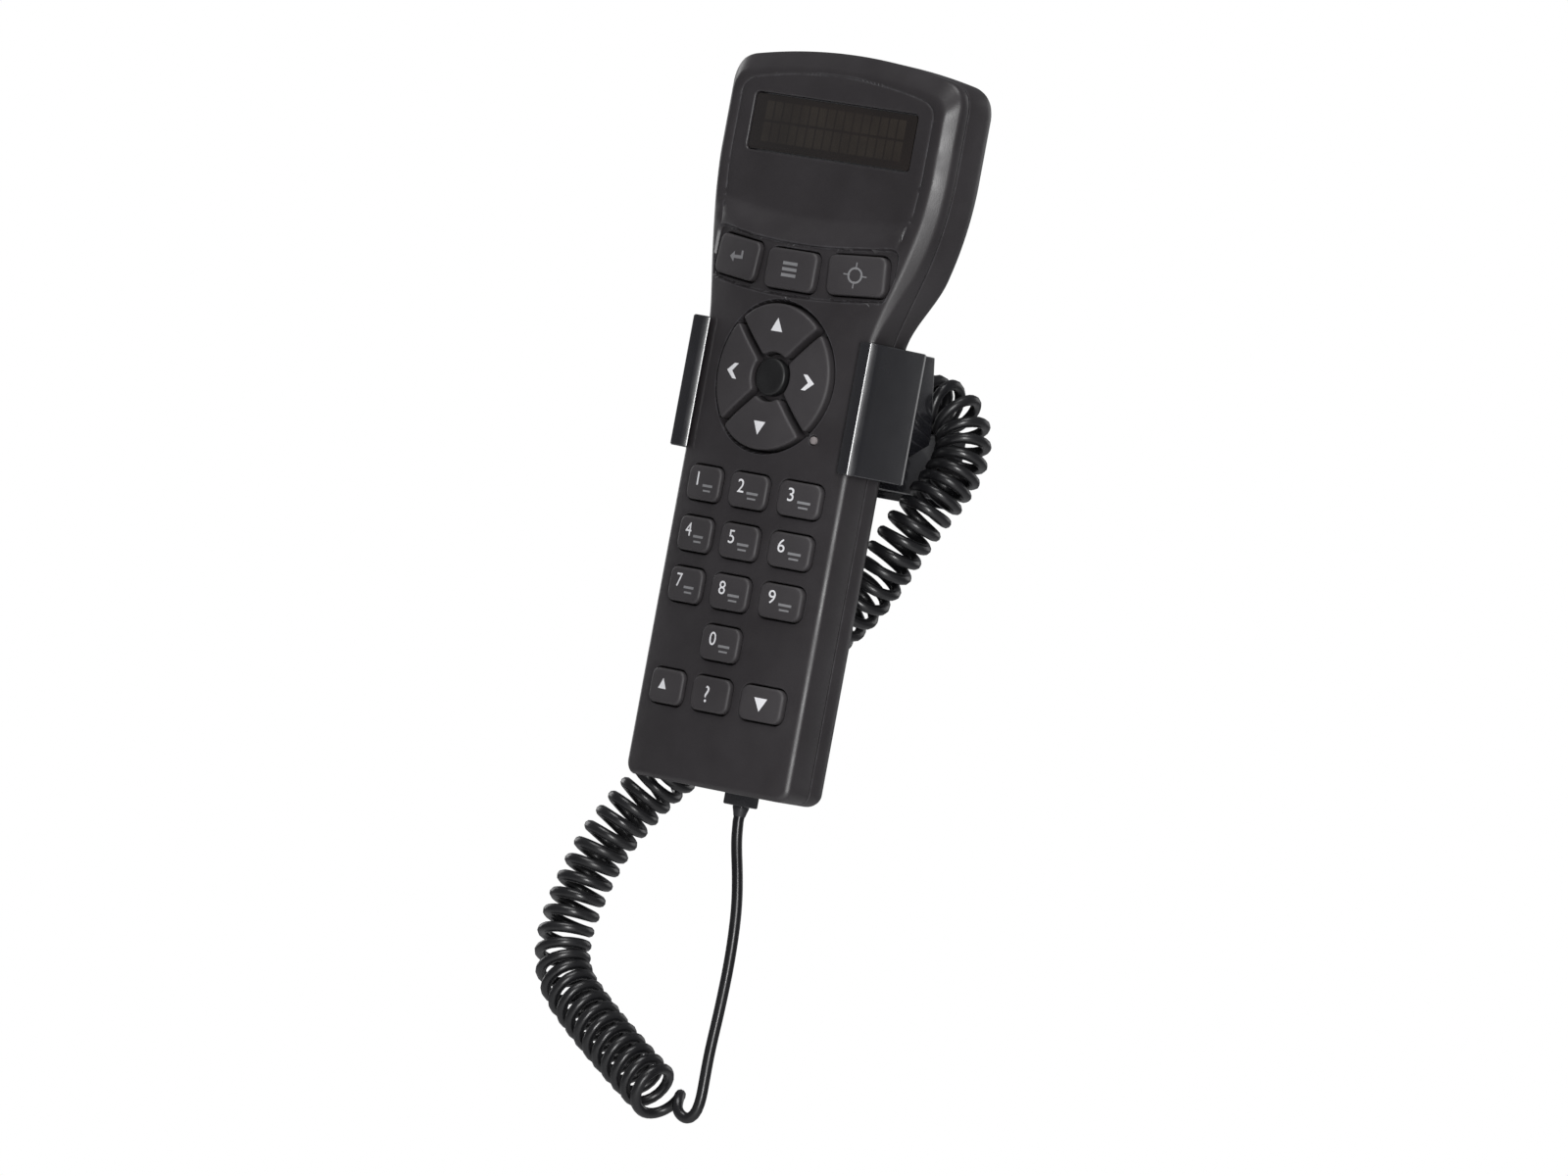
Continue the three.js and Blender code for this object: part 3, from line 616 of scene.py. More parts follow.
def inside(points, outline):
    """Which points lie inside the outline."""
    x, y = points[:, 0][:, None], points[:, 1][:, None]
    a, b = outline, np.roll(outline, -1, axis=0)
    crosses = (a[:, 1] > y) != (b[:, 1] > y)
    rise = np.where(b[:, 1] == a[:, 1], 1e-12, b[:, 1] - a[:, 1])
    at = a[:, 0] + (y - a[:, 1]) * (b[:, 0] - a[:, 0]) / rise
    return (np.sum(crosses & (x < at), axis=1) % 2) == 1


def prism(name, outline, axis, low, high):
    """A closed prism: the outline lies in the two axes other than `axis`, in x, y, z order."""
    order = {"x": (2, 0, 1), "y": (0, 2, 1), "z": (0, 1, 2)}[axis]
    shape = Shape()
    shape.solid([[[(*p, depth)[k] for k in order] for p in outline] for depth in (low, high)])
    return mesh_object(name, shape.points, shape.faces)


def block(name, low, high):
    corners = [(low[0], low[1]), (high[0], low[1]), (high[0], high[1]), (low[0], high[1])]
    return prism(name, corners, "z", low[2], high[2])


def lathe(name, profile, centre, axis="y", sides=40):
    """A turned solid: profile is (radius, place along the axis) from one end to the other."""
    shape = Shape()
    rings = []
    for radius, along in profile:
        spokes = circle(radius, 0, 0, sides)
        if axis == "y":
            rings.append([(centre[0] + u, along, centre[1] + v) for u, v in spokes])
        else:
            rings.append([(centre[0] + u, centre[1] + v, along) for u, v in spokes])
    shape.solid(rings)
    return mesh_object(name, shape.points, shape.faces)


# ---------------------------------------------------------------- cord


def mixed(a, b, start, end, at):
    """From a at start to b at end."""
    return (end - at) / (end - start) * a + (at - start) / (end - start) * b


def smooth_route(points):
    """A centripetal curve through the points."""
    p = np.array(points, float)
    p = np.vstack([2 * p[0] - p[1], p, 2 * p[-1] - p[-2]])
    samples = []
    for k in range(1, len(p) - 2):
        four = p[k - 1 : k + 3]
        t = np.concatenate([[0], np.cumsum(np.sqrt(np.linalg.norm(np.diff(four, axis=0), axis=1)))])
        u = np.linspace(t[1], t[2], ROUTE_STEPS, endpoint=False)[:, None]
        a = [mixed(four[i], four[i + 1], t[i], t[i + 1], u) for i in range(3)]
        b = [mixed(a[i], a[i + 1], t[i], t[i + 2], u) for i in range(2)]
        samples.append(mixed(b[0], b[1], t[1], t[2], u))
    return np.vstack(samples + [p[-2:-1]])


def lengths_along(line):
    return np.concatenate([[0], np.cumsum(np.linalg.norm(np.diff(line, axis=0), axis=1))])


def at_lengths(line, reached, at):
    """The line's points at those lengths along it."""
    return np.stack([np.interp(at, reached, column) for column in line.T], axis=1)


def evened(line, count):
    """A closed line's points, set out again at even distances."""
    closed = np.vstack([line, line[:1]])
    reached = lengths_along(closed)
    return at_lengths(closed, reached, np.linspace(0, reached[-1], count, endpoint=False))


def averaged(values, reach):
    """Each value's mean with those up to `reach` steps away on both sides."""
    count = 2 * reach + 1
    return np.convolve(np.pad(values, reach, mode="edge"), np.ones(count) / count, "valid")


def window(value, rise, fall):
    """1 between two smooth steps, each given by its start and end."""
    return smoothstep(*rise, value) * (1 - smoothstep(*fall, value))


def carried_frames(line):
    """Unit tangents and two normals carried along the line without twist."""
    tangents = np.gradient(line, axis=0)
    tangents /= np.linalg.norm(tangents, axis=1)[:, None]
    side = np.cross(tangents[0], (0, 1, 0.2))
    sides = []
    for t in tangents:
        side = side - t * side.dot(t)
        side /= np.linalg.norm(side)
        sides.append(side.copy())
    sides = np.array(sides)
    return tangents, sides, np.cross(tangents, sides)


def cord_line():
    """The wire's centreline, in mm, and the indices where its lead and its front leg end."""
    rough = smooth_route(LEAD_NEAR_ROUTE[:-1] + COIL_ROUTE + STORED_ROUTE[1:] + LEAD_FAR_ROUTE[1:])
    reached = lengths_along(rough)
    first = len(LEAD_NEAR_ROUTE) - 1
    stored = first + len(COIL_ROUTE) - 1
    knots = (first, first + BEND_KNOT, stored, stored + len(STORED_ROUTE) - 1)
    coil_start, bend, stored_start, stored_end = (reached[k * ROUTE_STEPS] for k in knots)
    s = np.arange(0, reached[-1], WIRE_STEP)
    axis = at_lengths(rough, reached, s)
    soft = np.stack([averaged(column, SMOOTH_REACH) for column in axis.T], axis=1)
    ends = SMOOTH_REACH + 2
    axis[ends:-ends] = soft[ends:-ends]
    tangents, sides, ups = carried_frames(axis)
    curving = averaged(np.linalg.norm(np.gradient(tangents, axis=0), axis=1) / WIRE_STEP, 20)
    free = COIL_PITCH + (STORED_PITCH - COIL_PITCH) * smoothstep(stored_start - 8, stored_start + 8, s)
    room = np.clip(1 - HELIX_RADIUS * curving, 0.3, 1)
    pitch = np.maximum(free, (2 * CORD_RADIUS + 0.15) / room)
    # at both ends the wire first moves out to the coil's radius and only then turns at full rate
    full = window(s, (coil_start + 4, coil_start + 14), (stored_end - 14, stored_end - 4))
    turn = np.cumsum(2 * math.pi * WIRE_STEP / pitch * (0.2 + 0.8 * full))
    lead_end = coil_start - 5
    swell = window(s, (lead_end, coil_start + 10), (stored_end - 10, stored_end + 5))
    radius = HELIX_RADIUS * swell
    wire = axis + radius[:, None] * (np.cos(turn)[:, None] * sides + np.sin(turn)[:, None] * ups)
    keep = (swell > 0) | (np.arange(len(s)) % 8 == 0)
    keep[[0, -1]] = True
    lead, leg = (int(np.sum(keep[: int(np.searchsorted(s, end))])) for end in (lead_end, bend))
    return wire[keep], lead, leg


def tube_rings(line, radius, sides):
    _, side, up = carried_frames(line)
    angles = np.linspace(0, 2 * math.pi, sides, endpoint=False)
    spokes = np.cos(angles)[None, :, None] * side[:, None, :] + np.sin(angles)[None, :, None] * up[:, None, :]
    return line[:, None, :] + radius * spokes


def tube_piece(name, rings):
    shape = Shape()
    shape.solid(rings)
    return mesh_object(name, shape.points, shape.faces, sharp=60)


def make_cord():
    """The cord in three stretches: the lead goes with the handset and the hank with the holder. The
    leg between them is baked in place and hangs on neither."""
    line, lead, leg = cord_line()
    rings = tube_rings(line, CORD_RADIUS, 10)
    spans = {
        "cord_lead_stretch": (0, lead, ("cord_lead_near",)),
        "cord_front_stretch": (lead, leg, ("cord_coil",)),
        "cord_rear_stretch": (leg, len(line) - 1, ("cord_coil", "cord_coil_stored", "cord_lead_far")),
    }
    made = {}
    for name, (first, last, nodes) in spans.items():
        piece = tube_piece(name, rings[first : last + 1])
        piece.data.materials.append(MATERIALS["cord_jacket"])
        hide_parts(*nodes)
        made[name] = (piece, place(line[first : last + 1]))
    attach(made["cord_lead_stretch"][0], "handset")
    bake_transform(made["cord_front_stretch"][0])
    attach(made["cord_rear_stretch"][0], "holder")
    return made


# ---------------------------------------------------------------- handset surfaces


def bezier(points, steps):
    t = np.linspace(0, 1, steps, endpoint=False)[:, None]
    p = [np.array(q, float) for q in points]
    while len(p) > 1:
        p = [a * (1 - t) + b * t for a, b in zip(p, p[1:])]
    return p[0]


def straight(a, b, steps):
    return bezier([a, b], steps)


def handset_outline(body=0.0, head=0.0, top=0.0):
    """The casing's outline from the bottom middle, up the right side, over the head and back down.
    It is moved in by body below the waist, by head at the head's sides and by top at its top."""
    wide, narrow = HEAD_HALF - head, BODY_HALF - body
    shoulder = wide - SHOULDER_INSET * (1 - 0.06 * top)
    shoulder_top, shoulder_low = SHOULDER_TOP - top, SHOULDER_Z - 0.5 * top
    top_pull = 2 * (LENGTH - top) - shoulder_top
    radius = max(BOTTOM_CORNER - body, LEAST_CORNER)
    corner = (narrow - radius, body + radius)
    waist = [(narrow, FLARE_LOW), (narrow, FLARE_LOW + 11), (wide - 0.5, FLARE_HIGH - 24), (wide, FLARE_HIGH)]
    right = [
        straight((0, body), (corner[0], body), 14),
        np.array(arc(corner, radius, -90, 0, 9))[:-1],
        straight((narrow, body + radius), waist[0], 64),
        bezier(waist, 34),
        straight(waist[-1], (wide, shoulder_low), 12),
        bezier([(wide, shoulder_low), (wide - 0.3, shoulder_top - 0.9), (shoulder, shoulder_top)], 12),
    ]
    half_arch = bezier([(shoulder, shoulder_top), (0, top_pull), (-shoulder, shoulder_top)], 44)[:22]
    half = np.vstack(right + [half_arch])
    left = half[1:][::-1] * (-1, 1)
    return np.vstack([half, [(0, LENGTH - top)], left])


def even_outline(inset):
    return handset_outline(inset, inset, inset)


OUTLINE = handset_outline()
NORMALS = normals_of(OUTLINE)


def soft_high(a, b, reach):
    return (a + b + np.sqrt((a - b) ** 2 + reach * reach)) / 2


def soft_low(a, b, reach):
    return (a + b - np.sqrt((a - b) ** 2 + reach * reach)) / 2


def bare_front(x, z):
    """The front without its recesses: crown, slope and set-back display panel."""
    crown = CROWN_RADIUS - np.sqrt(CROWN_RADIUS**2 - x * x)
    ridge = RIDGE_Z + RIDGE_RISE * (x / 30) ** 2
    slope = PANEL_Y - SLOPE * (ridge - z)
    return soft_low(soft_high(crown, slope, 0.5), PANEL_Y + 0 * x, 0.35)


def row_rise(x):
    return FUNCTION_RISE * (x / FUNCTION_PITCH) ** 2


FUNCTION_TROUGH = (60.4, 13.4, 2.6)


def box_gap(x, z, width, height, corner):
    """Distance outside a rounded rectangle round the origin, negative inside it."""
    u, v = np.abs(x) - (width / 2 - corner), np.abs(z) - (height / 2 - corner)
    return np.hypot(np.maximum(u, 0), np.maximum(v, 0)) + np.minimum(np.maximum(u, v), 0) - corner


def trough_distance(x, z):
    return box_gap(x, z - FUNCTION_Z - row_rise(x), *FUNCTION_TROUGH)


GROOVE_INSET = 6.2
GROOVE_LOW_Z = 139


def groove_line(inset):
    line = even_outline(inset)
    return line[line[:, 1] > GROOVE_LOW_Z]


def groove_distance(x, z):
    """Distance from the groove that runs round the display panel."""
    flat = np.stack([np.ravel(x), np.ravel(z)], axis=1)
    line = groove_line(GROOVE_INSET)
    middles = np.vstack([line, (line[1:] + line[:-1]) / 2])
    gaps = np.linalg.norm(flat[:, None, :] - middles[None, :, :], axis=2).min(axis=1)
    return gaps.reshape(np.shape(x))


def front_y(x, z):
    """The front surface: y at each (x, z)."""
    x, z = np.asarray(x, float), np.asarray(z, float)
    trough = FUNCTION_DEPTH * (1 - smoothstep(-0.3, 0.3, trough_distance(x, z)))
    pocket = PAD_DEPTH * (1 - smoothstep(-0.35, 0.35, np.hypot(x, z - PAD_Z) - PAD_POCKET))
    groove = 0.3 * np.exp(-((groove_distance(x, z) / 0.3) ** 2))
    groove = groove * smoothstep(GROOVE_LOW_Z, GROOVE_LOW_Z + 6, z)
    return bare_front(x, z) + trough + pocket + groove


def back_y(z):
    return BACK_Y + (HEAD_BACK_Y - BACK_Y) * smoothstep(*BACK_STEP, z)


EDGE_SIZES = ((1.05, 0.75), (3.1, 3.4), (4.8, 3.0))  # inset and depth: body, head sides, head top


def edge_profile(inset, depth):
    """(inset, extra depth) of each ring round a broken edge with softened corners."""
    long = math.hypot(inset, depth)
    soft = min(0.9, long * 0.42)
    back_in, back_down = soft * inset / long, soft * depth / long
    first = [(inset + soft, 0), (inset, 0), (inset - back_in, back_down)]
    last = [(back_in, depth - back_down), (0, depth), (0, depth + soft)]
    rings = []
    for a, b, c in (first, last):
        for t in (0, 0.25, 0.5, 0.75, 1):
            weights = ((1 - t) ** 2, 2 * t * (1 - t), t * t)
            rings.append(tuple(sum(w * p[k] for w, p in zip(weights, (a, b, c))) for k in (0, 1)))
    return rings


def front_edge_rings():
    """The front's outer edge: a small round on the body, a wide chamfer on the head."""
    head = smoothstep(FLARE_LOW, 150, OUTLINE[:, 1])
    top = smoothstep(0.35, 0.9, NORMALS[:, 1]) * (OUTLINE[:, 1] > 170)
    rings = []
    for body, side, crest in zip(*[edge_profile(*size) for size in EDGE_SIZES]):
        line = handset_outline(body[0], side[0], crest[0])
        down = body[1] + (side[1] - body[1]) * head + (crest[1] - side[1]) * top
        rings.append(lifted(line, bare_front(line[:, 0], line[:, 1]) + down))
    return rings


def lifted(outline, y):
    return np.stack([outline[:, 0], np.broadcast_to(y, len(outline)), outline[:, 1]], axis=1)


def patch(shape, rim, openings, surface, rows=(), spacing=1.7):
    """Fills the space between an outer ring and the opening rings with points on surface(x, z)."""
    loops = [rim] + openings
    ids = [i for loop in loops for i in loop]
    edges, lines = [], []
    for loop in loops:
        start, count = len(edges), len(loop)
        edges += [(start + k, start + (k + 1) % count) for k in range(count)]
        lines.append(np.array([(shape.points[i][0], shape.points[i][2]) for i in loop]))
    fixed = np.vstack(lines)
    outer, holes = lines[0], lines[1:]

    def open_at(points):
        keep = inside(points, outer)
        for hole in holes:
            keep &= ~inside(points, hole)
        return keep

    def free(points, clear, others):
        points = points[open_at(points)]
        if len(points) == 0:
            return points
        gap = np.min([np.linalg.norm(points - q, axis=1) for q in others], axis=0)
        return points[gap > clear]

    extra = np.vstack([np.zeros((0, 2))] + [free(np.array(row), 0.16, fixed) for row in rows])
    low, high = outer.min(axis=0), outer.max(axis=0)
    xs, zs = np.arange(low[0], high[0], spacing), np.arange(low[1], high[1], spacing * 0.87)
    grid = np.array([(x + (k % 2) * spacing / 2, z) for k, z in enumerate(zs) for x in xs])
    new = np.vstack([extra, free(grid, spacing * 0.5, np.vstack([fixed, extra]))])
    ids += shape.ring(lifted(new, surface(new[:, 0], new[:, 1])))
    every = [Vector(p) for p in np.vstack([fixed, new])]
    points, _, faces, origins, _, _ = delaunay_2d_cdt(every, edges, [], 1, 1e-5)
    index = [ids[o[0]] for o in origins]
    middles = np.array([np.mean([points[i][:] for i in f], axis=0) for f in faces])
    shape.faces += [tuple(index[i] for i in f) for f, k in zip(faces, open_at(middles)) if k]


# ---------------------------------------------------------------- key layout


def box_key(size, x, z, turn=0.0):
    return turned(rounded_box(*size), turn) + (x, z)


def quadrant(direction):
    """One of the pad's four keys: a ring sector less half a gap on each side, corners rounded."""
    half_gap = PAD_RIB / 2
    outer_turn = 45 - math.degrees(math.asin(half_gap / PAD_OUTER))
    inner_turn = 45 - math.degrees(math.asin(half_gap / PAD_INNER))
    sector = arc((0, 0), PAD_OUTER, 90 - outer_turn, 90 + outer_turn, 22)
    sector += arc((0, 0), PAD_INNER, 90 + inner_turn, 90 - inner_turn, 8)
    return turned(rounded(sector, 1.2), math.radians(direction)) + (0, PAD_Z)


def rounded(corners, radius):
    """The outline with each sharp corner replaced by a short curve, then evened out."""
    p = np.array(corners, float)
    out = []
    for k in range(len(p)):
        before, here, after = p[k - 1], p[k], p[(k + 1) % len(p)]
        a, b = before - here, after - here
        la, lb = np.linalg.norm(a), np.linalg.norm(b)
        if a.dot(b) / (la * lb) < -0.9:
            out.append(here[None, :])
            continue
        start, end = here + a / la * min(radius, la * 0.48), here + b / lb * min(radius, lb * 0.48)
        out.append(np.vstack([bezier([start, here, end], 5), end[None, :]]))
    return evened(np.vstack(out), 84)


def key_layout():
    """The outline of every key, by its name."""
    layout = {}
    for name, column in (("enter", -1), ("mode", 0), ("goto", 1)):
        x, z = column * FUNCTION_PITCH, FUNCTION_Z + FUNCTION_RISE * abs(column)
        layout[name] = box_key(FUNCTION_KEY, x, z, FUNCTION_TURN * column)
    for name, direction in (("up", 0), ("left", 90), ("down", 180), ("right", 270)):
        layout[name] = quadrant(direction)
    for row, z in enumerate(NUMBER_ROWS_Z):
        for column in range(3):
            layout[str(3 * row + column + 1)] = box_key(NUMBER_KEY, (column - 1) * COLUMN_PITCH, z)
    layout["0"] = box_key(NUMBER_KEY, 0, ZERO_Z)
    for name, column in (("scroll_up", -1), ("help", 0), ("scroll_down", 1)):
        layout[name] = box_key(NUMBER_KEY, column * COLUMN_PITCH, BOTTOM_ROW_Z)
    return layout


KEYS = key_layout()
PAD_KEYS = ("up", "left", "down", "right")
FUNCTION_KEYS = ("enter", "mode", "goto")


def key_top(name):
    """A function giving the y of that key's top at (x, z), its slight dish included."""
    centre = KEYS[name].mean(axis=0)
    proud = KEY_PROUD if name not in FUNCTION_KEYS else FUNCTION_PROUD

    def top(x, z):
        x, z = np.asarray(x, float), np.asarray(z, float)
        base = CROWN_RADIUS - np.sqrt(CROWN_RADIUS**2 - x * x)
        if name in PAD_KEYS:
            rim = np.hypot(x, z - PAD_Z)
            return base - proud + 0.5 * (1 - smoothstep(PAD_INNER - 1, PAD_OUTER - 4, rim))
        reach = np.hypot((x - centre[0]) / 6, (z - centre[1]) / 4.4)
        return base - proud + 0.12 * (1 - smoothstep(0, 1.1, reach))

    return top


# ---------------------------------------------------------------- casings


def rim_rings(shape, outline, surface, rim, floor_y):
    """An opening's rounded rim from the surface down to floor_y; returns its top and bottom rings."""
    rings = []
    for growth, drop in rim:
        line = grown(outline, growth)
        rings.append(lifted(line, surface(line[:, 0], line[:, 1]) + drop))
    rings.append(lifted(grown(outline, rim[-1][0]), floor_y))
    return shape.loft(rings)


# (outward move, drop) of each ring of an opening's rounded rim
PAD_RIM = [(0.62, 0), (0.42, 0.06), (0.35, 0.25)]
KEY_RIM = [(0.8, 0), (0.55, 0.07), (0.4, 0.25), (0.35, 0.5)]
WINDOW_RIM = [(0.75, 0), (0.5, 0.08), (0.37, 0.25), (0.3, 0.5)]
LIGHT_RIM = [(0.5, 0), (0.33, 0.06), (0.25, 0.25)]


def window_outline(side_steps):
    return rounded_box(*WINDOW, side_steps=side_steps) + (0, WINDOW_Z)


def front_openings():
    holes = [(line, PAD_RIM if name in PAD_KEYS else KEY_RIM) for name, line in KEYS.items()]
    x, z, radius = LIGHT_DOT
    return holes + [(window_outline(16), WINDOW_RIM), (circle(radius, x, z, 24), LIGHT_RIM)]


def front_rows():
    """Extra rows of points along the small steps of the front, so that they stay crisp."""
    rows = [circle(PAD_POCKET + d, 0, PAD_Z, 110) for d in (-0.4, -0.15, 0.15, 0.4)]
    width, height, corner = FUNCTION_TROUGH
    for d in (-0.6, -0.35, -0.12, 0.12, 0.35, 0.6):
        box = rounded_box(width + 2 * d, height + 2 * d, corner + d, side_steps=34)
        rows.append(np.stack([box[:, 0], box[:, 1] + FUNCTION_Z + row_rise(box[:, 0])], axis=1))
    for d in (-0.5, -0.22, 0, 0.22, 0.5):
        rows.append(groove_line(GROOVE_INSET + d))
    rows += [grown(window_outline(16), d) for d in (1.0, 1.35, 1.8)]
    across = np.linspace(-33, 33, 56)
    for d in (-0.9, -0.3, 0.3, 0.9):
        rows.append(np.stack([across, RIDGE_Z + RIDGE_RISE * (across / 30) ** 2 + d], axis=1))
    return rows


def make_front_casing():
    shape = Shape()
    seam = ((0, -0.4), (0.08, -0.16), (0.3, 0), (INNER_INSET, 0))  # inset, and y from the seam
    rings = front_edge_rings()
    rings += [lifted(even_outline(inset), FRONT_SEAM_Y + y) for inset, y in seam]
    rings.append(lifted(even_outline(INNER_INSET), INNER_Y))
    outer, inner = shape.loft(rings)
    openings = [rim_rings(shape, line, front_y, rim, INNER_Y) for line, rim in front_openings()]
    patch(shape, outer, [top for top, _ in openings], front_y, front_rows())
    patch(shape, inner, [bottom for _, bottom in openings], lambda x, z: INNER_Y + 0 * x, spacing=8)
    casing = mesh_object("front_shell", shape.points, shape.faces, sharp=46)
    combined(casing, [plug_cutter()], "DIFFERENCE")
    return settle(casing, "handset", "casing_plastic", "front_casing")


def plug_cutter():
    x, y = NEAR_PLUG
    return block("plug_cut", (x - 4.2, y - 3.5, -2), (x + 4.2, y + 3.5, 3.2))


SCREW_PLACES = ((-21.4, 9.6), (21.4, 9.6), (-32.3, 150), (32.3, 150))
TORCH = (0, 18)  # x and y of the torch in the top edge
LABEL = (38, 30, 2, 44)  # width, height, corner and middle z of the plain recess on the back


def label_depth(x, z):
    width, height, corner, middle = LABEL
    return 0.35 * (1 - smoothstep(-0.25, 0.25, box_gap(x, z - middle, width, height, corner)))


def rear_surface(x, z):
    return back_y(z) - label_depth(x, z)


def rear_floor(x, z):
    return back_y(z) - REAR_WALL


def make_rear_casing():
    shape = Shape()
    seam = ((INNER_INSET, 0), (0.3, 0), (0.08, 0.14), (0, 0.4))  # inset, and y from the seam
    rings = [lifted(even_outline(inset), REAR_SEAM_Y + y) for inset, y in seam]
    for angle in np.radians(np.linspace(0, 90, 10)):
        line = even_outline(REAR_ROUND * (1 - math.cos(angle)))
        rings.append(lifted(line, back_y(line[:, 1]) - REAR_ROUND * (1 - math.sin(angle))))
    inner_top, outer = shape.loft(rings)
    inner_line = even_outline(INNER_INSET)
    inner = shape.ring(lifted(inner_line, rear_floor(0, inner_line[:, 1])))
    shape.band(inner, inner_top)
    width, height, corner, middle = LABEL
    rows = []
    for d in (-0.3, -0.1, 0.1, 0.3):
        rows.append(rounded_box(width + 2 * d, height + 2 * d, corner + d, side_steps=20) + (0, middle))
    patch(shape, outer, [], rear_surface, rows, spacing=2.4)
    patch(shape, inner, [], rear_floor, spacing=4)
    casing = mesh_object("rear_shell", shape.points, shape.faces, sharp=32)
    cuts = [plug_cutter(), lathe("lens_cut", [(2.8, 180), (2.8, 195)], TORCH, axis="z", sides=36)]
    for x, z in SCREW_PLACES:
        level = float(back_y(z))
        steps = ((1.5, -4), (1.5, -1.5), (2.7, -1.5), (2.7, 2))  # radius, and y from the back
        cuts.append(lathe("screw_well", [(radius, level + y) for radius, y in steps], (x, z)))
    combined(casing, cuts, "DIFFERENCE")
    return settle(casing, "handset", "casing_plastic", "rear_casing")


def make_casing_screws():
    steps = ((1.2, -1.35), (2.4, -1.35), (2.4, -0.75), (2.1, -0.45), (1.2, -0.32))
    for number, (x, z) in enumerate(SCREW_PLACES, 1):
        level = float(back_y(z))
        profile = [(1.2, 10.2)] + [(radius, level + y) for radius, y in steps]
        screw = lathe(f"shell_screw_{number}", profile, (x, z))
        cross = []
        for w, h in ((1.3, 0.28), (0.28, 1.3)):
            cross.append(block(f"cross_{w}", (x - w, level - 0.9, z - h), (x + w, level + 1, z + h)))
        combined(screw, cross, "DIFFERENCE")
        settle(screw, "handset", "screw_steel", f"casing_screw_{number}")


# ---------------------------------------------------------------- keys and their marks


def make_key(name):
    """A key with rounded top edges and a slightly dished top that follows the front's crown."""
    outline, top = KEYS[name], key_top(name)
    shape = Shape()
    rings = [lifted(outline, KEY_BACK_Y)]
    edge = 0.75
    rings.append(lifted(outline, top(outline[:, 0], outline[:, 1]) + edge * 1.4))
    for angle in np.radians(np.linspace(0, 90, 6)):
        line = grown(outline, -edge * (1 - math.cos(angle)))
        rings.append(lifted(line, top(line[:, 0], line[:, 1]) + edge * (1 - math.sin(angle))))
    middle = outline.mean(axis=0)
    last = grown(outline, -edge)
    for share in (0.9, 0.75, 0.6, 0.45, 0.3, 0.15):
        line = middle + (last - middle) * share
        rings.append(lifted(line, top(line[:, 0], line[:, 1])))
    first, inner = shape.loft(rings)
    shape.fan(inner, (middle[0], float(top(*middle)), middle[1]))
    shape.cap(first)
    key = mesh_object(f"button_{name}", shape.points, shape.faces, sharp=50)
    return settle(key, f"key_{name}", "key_rubber", f"key_{name}")


def mark(name, key, solids, look="white_print"):
    """A thin printed mark on a key: flat meshes carried onto the key's top."""
    top = key_top(key)
    shape = Shape()
    for points, faces, walls in solids:
        points = np.asarray(points)
        level = top(points[:, 0], points[:, 1])
        front = shape.ring(lifted(points, level - 0.035))
        back = shape.ring(lifted(points, level + 0.12))
        shape.faces += [tuple(front[i] for i in f) for f in faces]
        shape.faces += [tuple(back[i] for i in reversed(f)) for f in faces]
        shape.faces += [(front[a], front[b], back[b], back[a]) for a, b in walls]
    made = mesh_object(name, shape.points, shape.faces, sharp=30)
    return settle(made, f"key_{key}", "key_rubber", look=look)


def flat_outline(outline):
    """A flat figure cut into small triangles, so that it can follow a curved top."""
    count = len(outline)
    line = [outline[k] + (outline[(k + 1) % count] - outline[k]) * t for k in range(count) for t in (0, 0.5)]
    line = np.array(line)
    edges = [(k, (k + 1) % len(line)) for k in range(len(line))]
    points, _, faces, _, _, _ = delaunay_2d_cdt([Vector(p) for p in line], edges, [], 1, 1e-5)
    points = np.array([p[:] for p in points])
    middles = np.array([points[list(f)].mean(axis=0) for f in faces])
    keep = inside(middles, np.asarray(outline))
    faces = [f for f, k in zip(faces, keep) if k]
    return points, faces, boundary(faces)


def boundary(faces):
    """Edges used by one face only."""
    uses = {}
    for f in faces:
        for a, b in zip(f, list(f[1:]) + [f[0]]):
            uses[tuple(sorted((a, b)))] = (a, b) if tuple(sorted((a, b))) not in uses else None
    return [e for e in uses.values() if e]


def glyph(text, height, x, z):
    """A character as a flat mesh of that height, centred on (x, z)."""
    curve = bpy.data.curves.new("glyph", "FONT")
    curve.body = text
    curve.size = 10
    curve.resolution_u = 4
    holder = bpy.data.objects.new("glyph", curve)
    bpy.context.collection.objects.link(holder)
    bpy.context.view_layer.update()
    mesh = bpy.data.meshes.new_from_object(holder.evaluated_get(bpy.context.evaluated_depsgraph_get()))
    points = np.array([v.co[:2] for v in mesh.vertices])
    faces = [tuple(p.vertices) for p in mesh.polygons]
    bpy.data.objects.remove(holder)
    low, high = points.min(axis=0), points.max(axis=0)
    scale = height / (high[1] - low[1])
    points = (points - (low + high) / 2) * scale + (x, z)
    return points, faces, boundary(faces)


def figure(points, x, z, scale=1.0, turn=0.0):
    return flat_outline(turned(np.array(points, float) * scale, math.radians(turn)) + (x, z))


